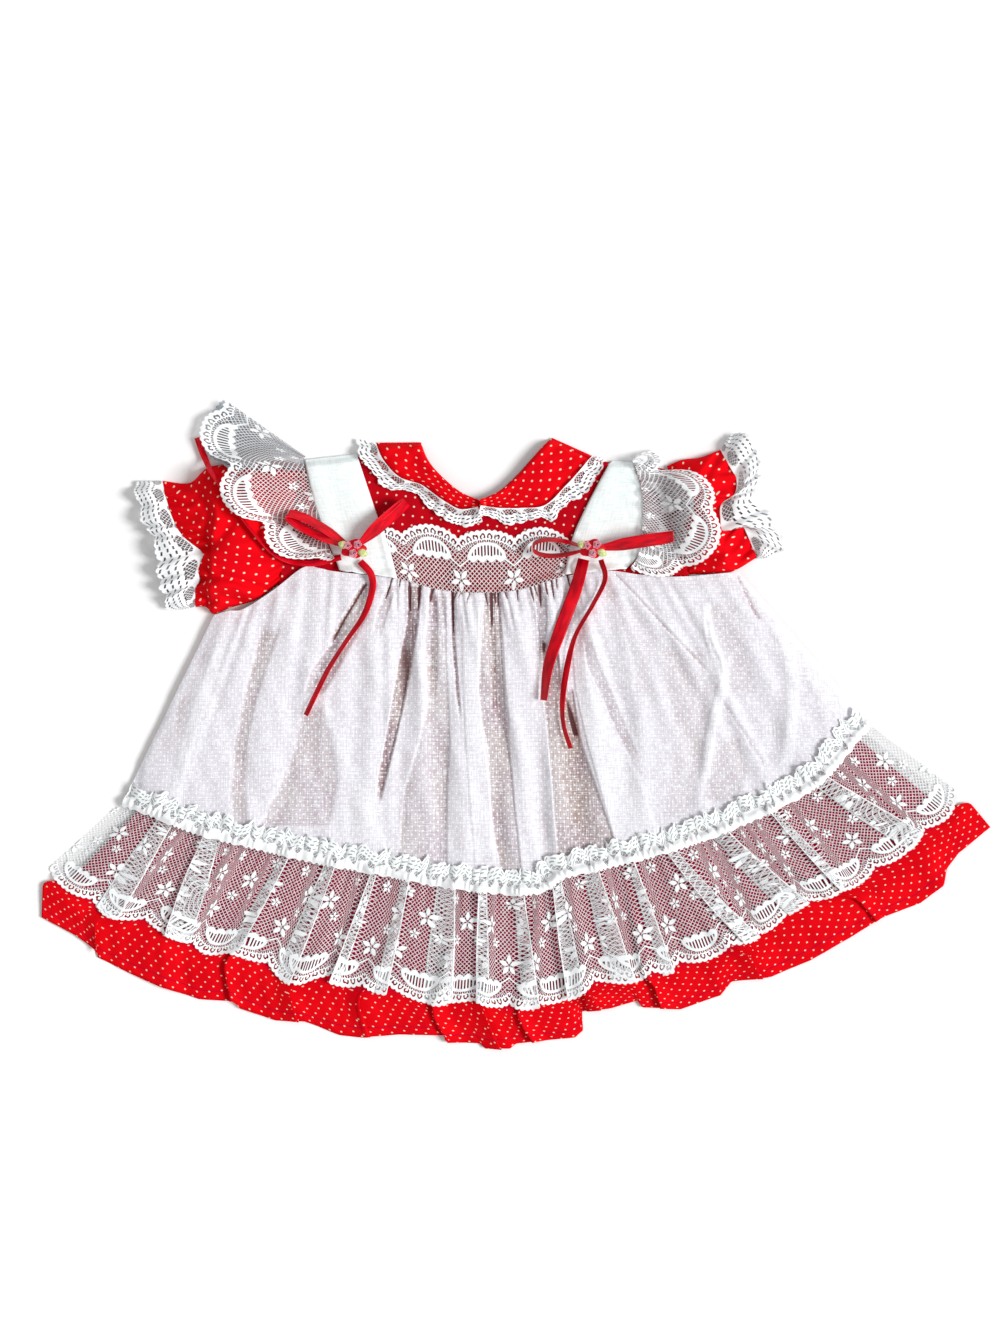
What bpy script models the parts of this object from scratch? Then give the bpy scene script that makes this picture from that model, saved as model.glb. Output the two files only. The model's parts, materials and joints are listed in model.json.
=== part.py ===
"""Baby girl's pin-dot dress with a sheer pinafore, laid out flat on its back.

X runs to the dress's left hand as it is seen from above, Y towards the neck and Z up.
All the tables are in millimetres.
"""

import math
from collections import namedtuple

import bpy
import numpy as np
from mathutils import Vector
from mathutils.bvhtree import BVHTree

# Driving sizes
MM = 0.001
WALL = 1.0
GAP = 0.3
LAYER = WALL + GAP
RIBBON_WALL = 0.8
RIBBON_WIDTH = 7.0
CURLED_WIDTH = 4.0
SKIRT_COLUMNS = 42
BACK_COLUMNS = 18
BACK_INSET = 0.012
SLEEVE_SIDES = 14
BUTTON_RADIUS = 4.5

# Cloth and trim colours
Finish = namedtuple("Finish", "colour roughness")
FINISHES = {
    "red_cotton": Finish((0.72, 0.012, 0.02), 0.85),
    "sheer_batiste": Finish((0.80, 0.76, 0.80), 0.8),
    "strap_cloth": Finish((0.82, 0.88, 0.86), 0.8),
    "white_lace": Finish((0.86, 0.86, 0.86), 0.8),
    "red_satin": Finish((0.70, 0.01, 0.02), 0.3),
    "rose_pink": Finish((0.85, 0.25, 0.35), 0.5),
    "leaf_green": Finish((0.25, 0.42, 0.12), 0.5),
    "button_white": Finish((0.85, 0.85, 0.83), 0.3),
}

# Lines across the skirt, left side to right side
CHEST_SEAM = (
    (-150.5, 54), (-135.5, 57), (-120.5, 66.5), (-106, 78), (-89.5, 75.5), (-59, 72), (-38, 66.5),
    (-18, 65), (2, 66.5), (23.5, 73), (44.5, 76), (62, 74), (82, 73), (111, 75.5),
)
LACE_SEAM = (
    (-196, -39), (-158, -54.5), (-98, -67.5), (-38, -78.5), (-8, -82.5), (14, -82), (23, -76.5),
    (72, -63.5), (112, -48.5), (132, -39.5), (152, -26), (177, 1),
)
LACE_FREE_EDGE = (
    (-235.5, -74.5), (-208, -91), (-158, -112.5), (-125, -119.5), (-108, -128.5), (-58, -134.5),
    (-3, -143.5), (22, -138.5), (37, -130), (64.5, -128.5), (92, -118.5), (142, -91), (189.5, -66),
    (222, -37.5),
)
HEM = (
    (-237, -94.5), (-210, -112.5), (-168, -136), (-140, -140), (-108, -147.5), (-78, -156), (-38, -156),
    (-3, -162), (32, -156.5), (62, -141.5), (87, -140), (109, -129.5), (142, -119.5), (202, -90),
    (214, -72.5), (237, -51.5),
)

# Largest folds down the skirt: where each starts and ends as a share of the seam and of the hem,
# how far it spreads to either side as such a share, and its height at the hem
Fold = namedtuple("Fold", "top hem spread height")
FOLDS = (
    Fold(0.07, 0.055, 0.050, 2.4),
    Fold(0.15, 0.150, 0.055, 3.6),
    Fold(0.25, 0.235, 0.055, 3.0),
    Fold(0.34, 0.320, 0.060, 4.2),
    Fold(0.43, 0.410, 0.050, 3.2),
    Fold(0.50, 0.490, 0.050, 4.6),
    Fold(0.58, 0.575, 0.055, 5.0),
    Fold(0.66, 0.665, 0.055, 3.4),
    Fold(0.75, 0.760, 0.060, 4.4),
    Fold(0.85, 0.850, 0.055, 3.4),
    Fold(0.93, 0.935, 0.050, 2.6),
)

# Front bodice, side to side: its top edge over shoulder and neck, and its foot at the chest seam
Station = namedtuple("Station", "top foot")
BODICE_FRONT = (
    Station((-107.5, 129.8), (-119, 68.8)), Station((-92, 132), (-113.5, 73)), Station((-76, 135), (-106, 79)),
    Station((-62, 138), (-98, 78)), Station((-49, 138.8), (-89.5, 76.6)), Station((-45, 130.5), (-80, 75.5)),
    Station((-39, 123), (-70, 74.4)), Station((-29, 114.5), (-59, 73)), Station((-18, 111), (-48.5, 70.4)),
    Station((-8.5, 115.3), (-38, 67.6)), Station((1.2, 124.5), (-18, 66.1)), Station((11, 135.5), (2, 67.6)),
    Station((18, 140.8), (12.5, 70.8)), Station((28, 136.5), (23.5, 74)), Station((38, 132), (34, 75.6)),
    Station((50, 130), (44.5, 77)), Station((62, 129), (62, 75.1)), Station((75.5, 127.8), (86.5, 74.6)),
)

# Back bodice halves in the same way, laid apart at the open back
BACK_LEFT = (
    Station((-106.5, 129), (-118, 69.8)), Station((-96, 130.5), (-106, 79)), Station((-84, 132), (-89.5, 76.6)),
    Station((-73, 133.8), (-59, 73)), Station((-62, 135.5), (-38, 67.6)), Station((-51, 137), (-20, 66.2)),
)
BACK_RIGHT = (
    Station((20.5, 139), (-14, 66.4)), Station((31, 135), (2, 67.6)), Station((42, 131), (23.5, 74)),
    Station((53, 129), (44.5, 77)), Station((64, 128), (62, 75.1)), Station((74.5, 127), (85.5, 74.7)),
)

# Collars, centre front to shoulder: neck line and lace seam
COLLAR_LEFT_NECK = ((-19, 111.5), (-28, 115), (-38, 123.7), (-44, 131.3), (-47.5, 139.6))
COLLAR_LEFT_EDGE = ((-19.5, 107.5), (-28, 105.5), (-38, 111.5), (-45.5, 117.5), (-59, 123), (-66, 131), (-70, 139.8))
COLLAR_RIGHT_NECK = ((-16.6, 111.5), (-8, 116.5), (2, 125.5), (12, 136.5), (17.5, 142))
COLLAR_RIGHT_EDGE = ((-16, 108), (-8, 106.5), (2, 106), (14.5, 107.5), (24.5, 118), (30.5, 124), (37, 133))
LACE_LEFT_EDGE = (
    (-19.8, 100.5), (-28, 98.5), (-35.5, 102.5), (-43, 107.5), (-49, 113), (-57, 116), (-65.5, 118),
    (-71, 126), (-76, 134), (-78, 141.3),
)
LACE_RIGHT_EDGE = (
    (-16, 101.5), (-5.5, 99), (2, 100.5), (16, 101), (22, 107), (28, 111), (34.5, 116), (40, 126),
    (42.5, 131.5),
)
COLLAR_STATIONS = 9
COLLAR_BACK_STATIONS = 3

# Straps, foot to shoulder: outer and inner edge
STRAP_LEFT = (
    ((-89.5, 76.3), (-98, 101.5), (-105.2, 131)),
    ((-59.6, 72.9), (-68.5, 100.5), (-80.2, 134)),
)
STRAP_RIGHT = (
    ((23.8, 75.6), (29, 93), (38.5, 113), (46.5, 130.8)),
    ((60.5, 78.4), (62.8, 96.5), (62.8, 114), (59.5, 130.2)),
)
STRAP_STATIONS = 7
STRAP_BACK_STATIONS = 7

# Lace set in between the straps
YOKE_TOP = ((-66.8, 97), (-58, 93), (-45.5, 98), (-34, 89), (-18, 94), (-2, 86), (12, 96), (27.8, 91))
YOKE_FOOT = ((-59, 72.6), (-38, 67), (-18, 65.5), (2, 67), (23.2, 73.6))
YOKE_STATIONS = 15

# Rings of the sleeves from the armhole out: top, middle and bottom of the ring, and its height
Ring = namedtuple("Ring", "top middle bottom height")
SLEEVE_LEFT = (
    Ring((-108.3, 130), (-113.8, 99.5), (-119.6, 69.5), 4.8),
    Ring((-122, 131), (-125, 97), (-130, 63.5), 10),
    Ring((-141, 129.5), (-140, 93), (-145, 57.5), 14),
    Ring((-155, 127), (-149, 91), (-153.5, 56), 13),
    Ring((-165, 121.5), (-155, 90), (-158, 56.5), 10),
    Ring((-176.3, 121), (-164, 90), (-160, 58), 8),
)
SLEEVE_RIGHT = (
    Ring((76.2, 128), (81.5, 101), (87.2, 74.8), 4.8),
    Ring((83, 131), (88, 104), (96, 75.8), 9),
    Ring((91, 133.5), (96, 106), (105, 76.6), 12),
    Ring((97, 136), (101, 108), (113, 78.5), 11),
    Ring((101, 138), (105.5, 110), (120, 81.5), 8),
)
SLEEVE_LACE_LEFT = (
    Ring((-177.4, 120.8), (-164.8, 89.6), (-160.6, 57.9), 8),
    Ring((-185, 119), (-173, 88), (-168, 57), 10),
    Ring((-191.5, 117.5), (-180, 88), (-174.5, 57.5), 9),
)
SLEEVE_LACE_RIGHT = (
    Ring((102, 138.6), (106.4, 110.4), (120.8, 82), 8),
    Ring((108, 141), (114, 112), (127, 84), 10),
    Ring((112, 144), (120.5, 112), (134, 86), 9),
)

# Lace wings beside the straps: where each station is sewn on and where its free edge lies
Wing = namedtuple("Wing", "sewn free")
WING_LEFT = (
    Wing((-92.6, 84), (-98, 82)), Wing((-94.2, 89), (-113, 83)), Wing((-96, 95), (-122, 89)),
    Wing((-98, 101), (-127, 100)), Wing((-99.6, 107), (-139, 102.5)), Wing((-101.2, 113), (-144.5, 111.5)),
    Wing((-103, 120), (-144, 122)), Wing((-105, 126), (-146, 129)), Wing((-106, 131), (-154.5, 141)),
    Wing((-105.8, 132), (-153, 155)), Wing((-105, 132.8), (-146, 161)), Wing((-104, 133.4), (-133, 158)),
    Wing((-102.8, 133.8), (-119, 150)), Wing((-101.4, 134.2), (-108, 141)),
)
WING_RIGHT = (
    Wing((61.4, 79), (66, 77)), Wing((62.2, 84), (75, 76.5)), Wing((63, 90), (85, 77)),
    Wing((63.6, 96), (94, 83)), Wing((63.8, 101), (100.5, 93)), Wing((63.8, 107), (100.5, 102)),
    Wing((63.6, 113), (98.5, 112)), Wing((63, 119), (92, 121.5)), Wing((62.2, 124), (80, 126)),
    Wing((61.2, 128), (74.5, 133)), Wing((60.6, 131), (66, 135)),
)
WING_ROWS = 5

# Ribbon bows: knot, tips of the two loops, half width of each loop
Bow = namedtuple("Bow", "knot left_tip right_tip half_width")
BOW_LEFT = Bow((-80.5, 86), (-112, 103), (-55, 110.5), 3.5)
BOW_RIGHT = Bow((37.5, 87), (9, 88), (76.5, 92.5), 3.2)
KNOT_HALF = (4.2, 3.6)
KNOT_HEIGHT = 3.6
LOOP_STATIONS = 5
LOOP_AIR = 1.4
LOOP_REACH = 3.5

# Free ribbon ends from the knot to the cut end
TAIL_LEFT_UP = ((-87, 82.6), (-103, 79.5), (-118, 83), (-130, 95), (-141, 110), (-151, 125), (-156, 134), (-159, 142.5))
TAIL_LEFT_DOWN = ((-77.5, 80.5), (-72, 74), (-71.5, 66), (-75.5, 54), (-84, 41.5), (-93, 27.5), (-99, 15.5), (-104.5, 4))
TAIL_RIGHT_WIDE = ((33.5, 81.5), (29.5, 66.5), (22, 46.5), (16, 29), (13.5, 11.5))
TAIL_RIGHT_CURLED = (
    (42, 81.2), (44, 71.5), (38, 59), (29.5, 44), (25.5, 29), (23, 11.5), (23.5, -1), (27, -12.5),
)
TAIL_STATIONS = 22

ROSE_RADIUS = 3.6
ROSE_HEIGHT = 4.0
LEAF_LENGTH = 6.5
LEAF_HALF_WIDTH = 2.0
BUTTON_SHARES = (0.38, 0.64, 0.9)
BUTTON_FROM_EDGE = 7.0


def clear_scene():
    """Takes away whatever the new file starts with."""
    for item in list(bpy.data.objects):
        bpy.data.objects.remove(item, do_unlink=True)


def finish_materials():
    """One plain material for each cloth and trim."""
    made = {}
    for name, finish in FINISHES.items():
        material = bpy.data.materials.new(name)
        material.use_nodes = True
        shader = material.node_tree.nodes["Principled BSDF"]
        shader.inputs["Base Color"].default_value = (*finish.colour, 1.0)
        shader.inputs["Roughness"].default_value = finish.roughness
        shader.inputs["Metallic"].default_value = 0.0
        made[name] = material
    return made


def spread(line, count):
    """Evenly spaced points along a broken line."""
    line = np.asarray(line, dtype=float)
    along = np.concatenate([[0.0], np.cumsum(np.linalg.norm(np.diff(line, axis=0), axis=1))])
    wanted = np.linspace(0.0, along[-1], count)
    return np.stack([np.interp(wanted, along, line[:, axis]) for axis in range(line.shape[1])], axis=1)


def between(first, second, shares):
    """Rows of points from one line to another."""
    return [first + (second - first) * share for share in shares]


def grid_faces(rows, columns, closed=False):
    """Quads of a grid, closed round its columns for a tube."""
    faces = []
    for row in range(rows - 1):
        for column in range(columns if closed else columns - 1):
            after = (column + 1) % columns
            faces.append((
                row * columns + column,
                row * columns + after,
                (row + 1) * columns + after,
                (row + 1) * columns + column,
            ))
    return faces


class Dress:
    """The dress as it is laid down, piece upon piece."""

    def __init__(self):
        self.collection = bpy.data.collections.new("baby_dress")
        bpy.context.scene.collection.children.link(self.collection)
        self.materials = finish_materials()
        self.surfaces = []

    def add(self, name, points, faces, finish, wall, offset, smooth=False):
        """Makes one piece from an open surface, thickened by its wall."""
        mesh = bpy.data.meshes.new(name)
        mesh.from_pydata([tuple(value * MM for value in point) for point in points], [], faces)
        mesh.materials.append(self.materials[finish])
        piece = bpy.data.objects.new(name, mesh)
        self.collection.objects.link(piece)
        if wall:
            thicken = piece.modifiers.new("wall", "SOLIDIFY")
            thicken.thickness = wall * MM
            thicken.offset = offset
        if smooth:
            for polygon in mesh.polygons:
                polygon.use_smooth = True
        return piece

    def remember(self, points, faces):
        """Keeps a top surface for what is laid on it later."""
        self.surfaces.append(BVHTree.FromPolygons([Vector(point) for point in points], faces))

    def height(self, x, y, reach=0.0):
        """Highest surface at a point, or within a reach of it."""
        best = 0.0
        steps = ((0, 0), (reach, 0), (-reach, 0), (0, reach), (0, -reach)) if reach else ((0, 0),)
        for step_x, step_y in steps:
            for surface in self.surfaces:
                hit = surface.ray_cast(Vector((x + step_x, y + step_y, 200.0)), Vector((0, 0, -1)))
                if hit[0] is not None:
                    best = max(best, hit[0].z)
        return best

    def panel(self, name, rows, finish, wall=WALL, keep=True):
        """A panel from rows of points on its underside."""
        rows = np.asarray(rows)
        count, columns = rows.shape[:2]
        points = rows.reshape(-1, 3)
        faces = grid_faces(count, columns)
        first = [Vector(points[index]) for index in faces[0]]
        if (first[1] - first[0]).cross(first[3] - first[0]).z < 0:
            faces = [face[::-1] for face in faces]
        self.add(name, points, faces, finish, wall, 1.0)
        if keep:
            self.remember(points + np.array((0, 0, wall)), faces)

    def laid(self, name, rows, finish, wall=WALL, reach=2.0, keep=True):
        """A panel of flat points, laid over the highest of what lies round each of them."""
        rows = np.asarray(rows, dtype=float)
        count, columns = rows.shape[:2]
        fine = np.empty((2 * count - 1, 2 * columns - 1, 2))
        fine[::2, ::2] = rows
        fine[1::2, ::2] = (rows[1:] + rows[:-1]) / 2
        fine[:, 1::2] = (fine[:, :-2:2] + fine[:, 2::2]) / 2
        found = np.array([[self.height(x, y, reach) for x, y in line] for line in fine])
        lifted_rows = []
        for row in range(count):
            line = []
            for column in range(columns):
                near = found[max(2 * row - 1, 0):2 * row + 2, max(2 * column - 1, 0):2 * column + 2]
                line.append((*rows[row, column], near.max() + GAP + 0.1))
            lifted_rows.append(line)
        self.panel(name, lifted_rows, finish, wall, keep)

    def turned_over(self, name, outer, inner, back_stations, finish):
        """A band on the front of the bodice that turns over the shoulder and runs on underneath."""
        high = 3 * LAYER + WALL / 2
        low = WALL / 2
        radius = (high - low) / 2
        stations = [(pair[0], pair[1], high) for pair in zip(outer, inner)]
        along = (outer[-1] - outer[-2]) + (inner[-1] - inner[-2])
        along /= np.linalg.norm(along)
        for degrees in (30, 60, 90, 120, 150):
            angle = math.radians(degrees)
            step = along * radius * math.sin(angle)
            stations.append((outer[-1] + step, inner[-1] + step, low + radius + radius * math.cos(angle)))
        for index in range(1, back_stations + 1):
            stations.append((outer[-index], inner[-index], low))
        rows = [
            [(*side, height), (*((side + other) / 2), height), (*other, height)]
            for side, other, height in stations
        ]
        points = np.asarray(rows).reshape(-1, 3)
        faces = grid_faces(len(rows), 3)
        self.add(name, points, faces, finish, WALL, 0.0)
        front = points[: 3 * len(outer)]
        self.remember(front + np.array((0, 0, WALL / 2)), grid_faces(len(outer), 3))

    def tube(self, name, rings, finish):
        """A flattened tube through rings, open at both ends, with its wall inwards."""
        points = []
        for ring in rings:
            top, middle, bottom = (np.array(point, dtype=float) for point in ring[:3])
            for side in range(SLEEVE_SIDES):
                angle = 2 * math.pi * side / SLEEVE_SIDES
                share = 0.5 - 0.5 * math.cos(angle)
                bend = middle - (top + bottom) / 2
                x, y = top + (bottom - top) * share + bend * 4 * share * (1 - share)
                points.append((x, y, ring.height / 2 * (1 + math.sin(angle))))
        points = np.asarray(points)
        faces = grid_faces(len(rings), SLEEVE_SIDES, closed=True)
        quarter = faces[SLEEVE_SIDES // 4]
        corners = [Vector(points[index]) for index in quarter]
        if (corners[1] - corners[0]).cross(corners[3] - corners[0]).z < 0:
            faces = [face[::-1] for face in faces]
        self.add(name, points, faces, finish, WALL, -1.0, smooth=True)
        self.remember(points, faces)

    def disc(self, name, centre, radius, bottom, height, finish):
        """A small round body with softened rims."""
        sides = 14
        levels = ((0.0, 0.86), (0.25, 1.0), (0.7, 1.0), (1.0, 0.7))
        points = []
        for share, size in levels:
            for side in range(sides):
                angle = 2 * math.pi * side / sides
                points.append((
                    centre[0] + radius[0] * size * math.cos(angle),
                    centre[1] + radius[1] * size * math.sin(angle),
                    bottom + height * share,
                ))
        faces = grid_faces(len(levels), sides, closed=True)
        faces.append(tuple(reversed(range(sides))))
        faces.append(tuple(range(len(points) - sides, len(points))))
        self.add(name, points, faces, finish, 0.0, 0.0, smooth=True)

    def ribbon(self, name, route, width, stations):
        """A flat ribbon laid along a route."""
        centre = spread(route, stations)
        along = np.gradient(centre, axis=0)
        along /= np.linalg.norm(along, axis=1)[:, None]
        across = np.stack([-along[:, 1], along[:, 0]], axis=1) * width / 2
        self.laid(name, [centre + across, centre - across], "red_satin", RIBBON_WALL, reach=2.5)


def fold_height(share, depth):
    """Height of the folds at a share across the skirt and a share down it."""
    rise = 0.12 + 0.88 * depth
    total = 0.0
    for fold in FOLDS:
        middle = fold.top + (fold.hem - fold.top) * depth
        away = abs(share - middle) / fold.spread
        if away < 1:
            total += fold.height * rise * (0.5 + 0.5 * math.cos(math.pi * away))
    return total


def skirt_rows(columns, inset=0.0):
    """Points down the skirt for the three depths: pinafore, lace and hem."""
    lines = []
    for line in (CHEST_SEAM, LACE_SEAM, LACE_FREE_EDGE, HEM):
        fine = spread(line, 400)
        first = int(inset * 400)
        lines.append(spread(fine[first:400 - first], columns))
    return lines


def lifted(line, depth, base, folded=True):
    """A line of the skirt at its height, with or without the folds."""
    last = len(line) - 1
    return [
        (x, y, base + (fold_height(index / last, depth) if folded else 0.0))
        for index, (x, y) in enumerate(line)
    ]


def lay_skirt_backs(dress):
    """Pinafore back with its lace, lying on the floor, and the red skirt back on them."""
    seam, lace, edge, hem = skirt_rows(BACK_COLUMNS, BACK_INSET)
    flat = [lifted(line, 0, 0.0, False) for line in between(seam, lace, (0.004, 0.5, 0.996))]
    dress.panel("pinafore_back", flat, "sheer_batiste", keep=False)
    flat = [lifted(line, 0, 0.0, False) for line in between(lace, edge, (0.008, 0.5, 0.97))]
    dress.panel("hem_lace_back", flat, "white_lace", keep=False)
    seam, lace, edge, hem = skirt_rows(BACK_COLUMNS, BACK_INSET / 3)
    rows = [lifted(line, 0, LAYER, False) for line in between(seam, lace, (0.0, 0.5, 1.0))]
    rows += [lifted(line, 0, LAYER, False) for line in between(lace, edge, (0.5, 1.02))]
    rows += [lifted(line, 0, 0.0, False) for line in between(edge, hem, (0.45, 0.97))]
    dress.panel("skirt_back", rows, "red_cotton", keep=False)


def lay_skirt_fronts(dress):
    """Red skirt front, sheer pinafore front over it, and the gathered lace at its foot."""
    seam, lace, edge, hem = skirt_rows(SKIRT_COLUMNS)
    down = (0.0, 0.2, 0.4, 0.6, 0.8, 1.0)
    base = 2 * LAYER
    rows = [lifted(line, 0.5 * s, base) for line, s in zip(between(seam, lace, down), down)]
    ruffle = (0.33, 0.67, 1.0)
    rows += [lifted(line, 0.5 + 0.35 * s, base) for line, s in zip(between(lace, edge, ruffle), ruffle)]
    foot = (0.5, 1.0)
    for line, share in zip(between(edge, hem, foot), foot):
        rows.append(lifted(line, 0.85 + 0.15 * share, base - LAYER * share))
    dress.panel("skirt_front", rows, "red_cotton")
    base += LAYER
    rows = [lifted(line, 0.5 * s, base) for line, s in zip(between(seam, lace, (*down[:-1], 0.997)), down)]
    dress.panel("pinafore_front", rows, "sheer_batiste")
    ruffle = (0.006, 0.33, 0.67, 1.0)
    rows = [lifted(line, 0.5 + 0.35 * s, base) for line, s in zip(between(lace, edge, ruffle), ruffle)]
    dress.panel("hem_lace_front", rows, "white_lace")
    base += LAYER
    upper, lower = between(seam, lace, (0.93, ))[0], between(lace, edge, (0.07, ))[0]
    rows = [lifted(upper, 0.465, base), lifted(lower, 0.525, base)]
    dress.panel("hem_heading", rows, "white_lace")


def lay_bodice(dress):
    """Back halves, front, and the trimmings that lie on the front."""
    for name, stations, base, shares in (
        ("bodice_back_left", BACK_LEFT, LAYER, (0.0, 0.5, 1.0)),
        ("bodice_back_right", BACK_RIGHT, LAYER, (0.0, 0.5, 1.0)),
        ("bodice_front", BODICE_FRONT, 2 * LAYER, (0.0, 0.33, 0.67, 1.0)),
    ):
        top = np.array([station.top for station in stations], dtype=float)
        foot = np.array([station.foot for station in stations], dtype=float)
        rows = [[(x, y, base) for x, y in line] for line in between(top, foot, shares)]
        dress.panel(name, rows, "red_cotton", keep=name == "bodice_front")
    for name, neck, edge, lace in (
        ("left", COLLAR_LEFT_NECK, COLLAR_LEFT_EDGE, LACE_LEFT_EDGE),
        ("right", COLLAR_RIGHT_NECK, COLLAR_RIGHT_EDGE, LACE_RIGHT_EDGE),
    ):
        neck_line = spread(neck, COLLAR_STATIONS)
        edge_line = spread(edge, COLLAR_STATIONS)
        free_line = spread(lace, COLLAR_STATIONS)
        outward = free_line - edge_line
        outward /= np.linalg.norm(outward, axis=1)[:, None]
        dress.turned_over(f"collar_{name}", edge_line, neck_line, COLLAR_BACK_STATIONS, "red_cotton")
        sewn = edge_line + outward * (2 * GAP)
        dress.turned_over(f"collar_lace_{name}", free_line, sewn, COLLAR_BACK_STATIONS, "white_lace")
    for name, (outer, inner) in (("left", STRAP_LEFT), ("right", STRAP_RIGHT)):
        outer_line = spread(outer, STRAP_STATIONS)
        inner_line = spread(inner, STRAP_STATIONS)
        dress.turned_over(f"strap_{name}", outer_line, inner_line, STRAP_BACK_STATIONS, "strap_cloth")
    top = spread(YOKE_TOP, YOKE_STATIONS)
    foot = spread(YOKE_FOOT, YOKE_STATIONS)
    rows = [[(x, y, 3 * LAYER) for x, y in line] for line in between(top, foot, (0.0, 1.0))]
    dress.panel("yoke_lace", rows, "white_lace")
    for index, share in enumerate(BUTTON_SHARES, start=1):
        neck, opening = (np.array(point) for point in BACK_RIGHT[0])
        x, y = neck + (opening - neck) * share
        centre = (x + BUTTON_FROM_EDGE, y)
        dress.disc(f"back_button_{index}", centre, (BUTTON_RADIUS, BUTTON_RADIUS), 0.0, WALL, "button_white")


def lay_sleeves(dress):
    """Puffed sleeves and the gathered lace at their ends."""
    dress.tube("sleeve_left", SLEEVE_LEFT, "red_cotton")
    dress.tube("sleeve_right", SLEEVE_RIGHT, "red_cotton")
    dress.tube("sleeve_lace_left", SLEEVE_LACE_LEFT, "white_lace")
    dress.tube("sleeve_lace_right", SLEEVE_LACE_RIGHT, "white_lace")


def lay_wings(dress):
    """Lace wings fanned out from the straps over the sleeves."""
    for name, stations in (("wing_lace_left", WING_LEFT), ("wing_lace_right", WING_RIGHT)):
        sewn = np.array([station.sewn for station in stations], dtype=float)
        free = np.array([station.free for station in stations], dtype=float)
        shares = np.linspace(0.0, 1.0, WING_ROWS + 1)
        dress.laid(name, between(sewn, free, shares), "white_lace", reach=3.0)


def lay_bow(dress, name, bow, tails):
    """Knot, two flat loops, free ends and the rosebud with its leaves."""
    knot = np.array(bow.knot)
    base = dress.height(*knot, 3.0) + GAP
    dress.disc(f"bow_knot_{name}", knot, KNOT_HALF, base, KNOT_HEIGHT, "red_satin")
    for tail_name, route, width in tails:
        dress.ribbon(tail_name, route, width, TAIL_STATIONS)
    for side, tip in (("left", bow.left_tip), ("right", bow.right_tip)):
        toward = np.array(tip) - knot
        length = np.linalg.norm(toward)
        toward /= length
        across = np.array((-toward[1], toward[0]))
        starts = np.linspace(KNOT_HALF[0] + 0.8, length, LOOP_STATIONS)
        halves = np.interp(starts, (starts[0], starts[0] + 8, length), (1.6, bow.half_width, bow.half_width))
        pairs = [
            [knot + toward * start + across * half * way for way in (1, 0, -1)]
            for start, half in zip(starts, halves)
        ]
        found = [max(dress.height(*point, LOOP_REACH) for point in pair) for pair in pairs]
        under, over = [], []
        for index, pair in enumerate(pairs):
            edges = (pair[0], pair[2])
            floor = max(found[max(index - 1, 0):index + 2]) + GAP + RIBBON_WALL
            under.append([(*edge, floor) for edge in edges])
            over.append([(*edge, floor + RIBBON_WALL + LOOP_AIR) for edge in edges])
        tip_edges = [np.array(edge[:2]) + toward * 1.2 for edge in under[-1]]
        height = (under[-1][0][2] + over[-1][0][2]) / 2
        rows = [*under, [(*edge, height) for edge in tip_edges], *over[::-1]]
        points = np.asarray(rows).reshape(-1, 3)
        dress.add(f"bow_loop_{name}_{side}", points, grid_faces(len(rows), 2), "red_satin", RIBBON_WALL, 0.0)
    crown = base + KNOT_HEIGHT + GAP
    dress.disc(f"rosebud_{name}", knot, (ROSE_RADIUS, ROSE_RADIUS), crown, ROSE_HEIGHT, "rose_pink")
    for side, turn in (("left", 205), ("right", 335)):
        angle = math.radians(turn)
        toward = np.array((math.cos(angle), math.sin(angle)))
        across = np.array((-toward[1], toward[0]))
        spine = [knot + toward * (ROSE_RADIUS + GAP + LEAF_LENGTH * share) for share in (0.0, 0.5, 1.0)]
        halves = (0.8, LEAF_HALF_WIDTH, 0.3)
        rows = [
            [(*(middle + across * half * way), crown) for middle, half in zip(spine, halves)]
            for way in (-1, 0, 1)
        ]
        dress.panel(f"leaf_{name}_{side}", rows, "leaf_green", RIBBON_WALL, keep=False)


def main():
    """Lays the dress down from the floor up."""
    clear_scene()
    dress = Dress()
    lay_skirt_backs(dress)
    lay_skirt_fronts(dress)
    lay_bodice(dress)
    lay_sleeves(dress)
    dress.ribbon("ribbon_tail_left_up", TAIL_LEFT_UP, CURLED_WIDTH, TAIL_STATIONS)
    lay_wings(dress)
    lay_bow(dress, "left", BOW_LEFT, (("ribbon_tail_left_down", TAIL_LEFT_DOWN, CURLED_WIDTH),))
    lay_bow(dress, "right", BOW_RIGHT, (
        ("ribbon_tail_right_wide", TAIL_RIGHT_WIDE, RIBBON_WIDTH),
        ("ribbon_tail_right_curled", TAIL_RIGHT_CURLED, CURLED_WIDTH),
    ))


main()
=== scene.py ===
"""Looks of a baby girl's pin-dot dress with a sheer pinafore, laid flat and seen from straight above.

Tables of places are in millimetres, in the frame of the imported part: X to the right as the dress is
seen, Y towards the neck, Z up from the surface that it lies on.
"""

import json
import logging
import math
from dataclasses import dataclass, field
from enum import Enum
from typing import NamedTuple, Sequence

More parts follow.
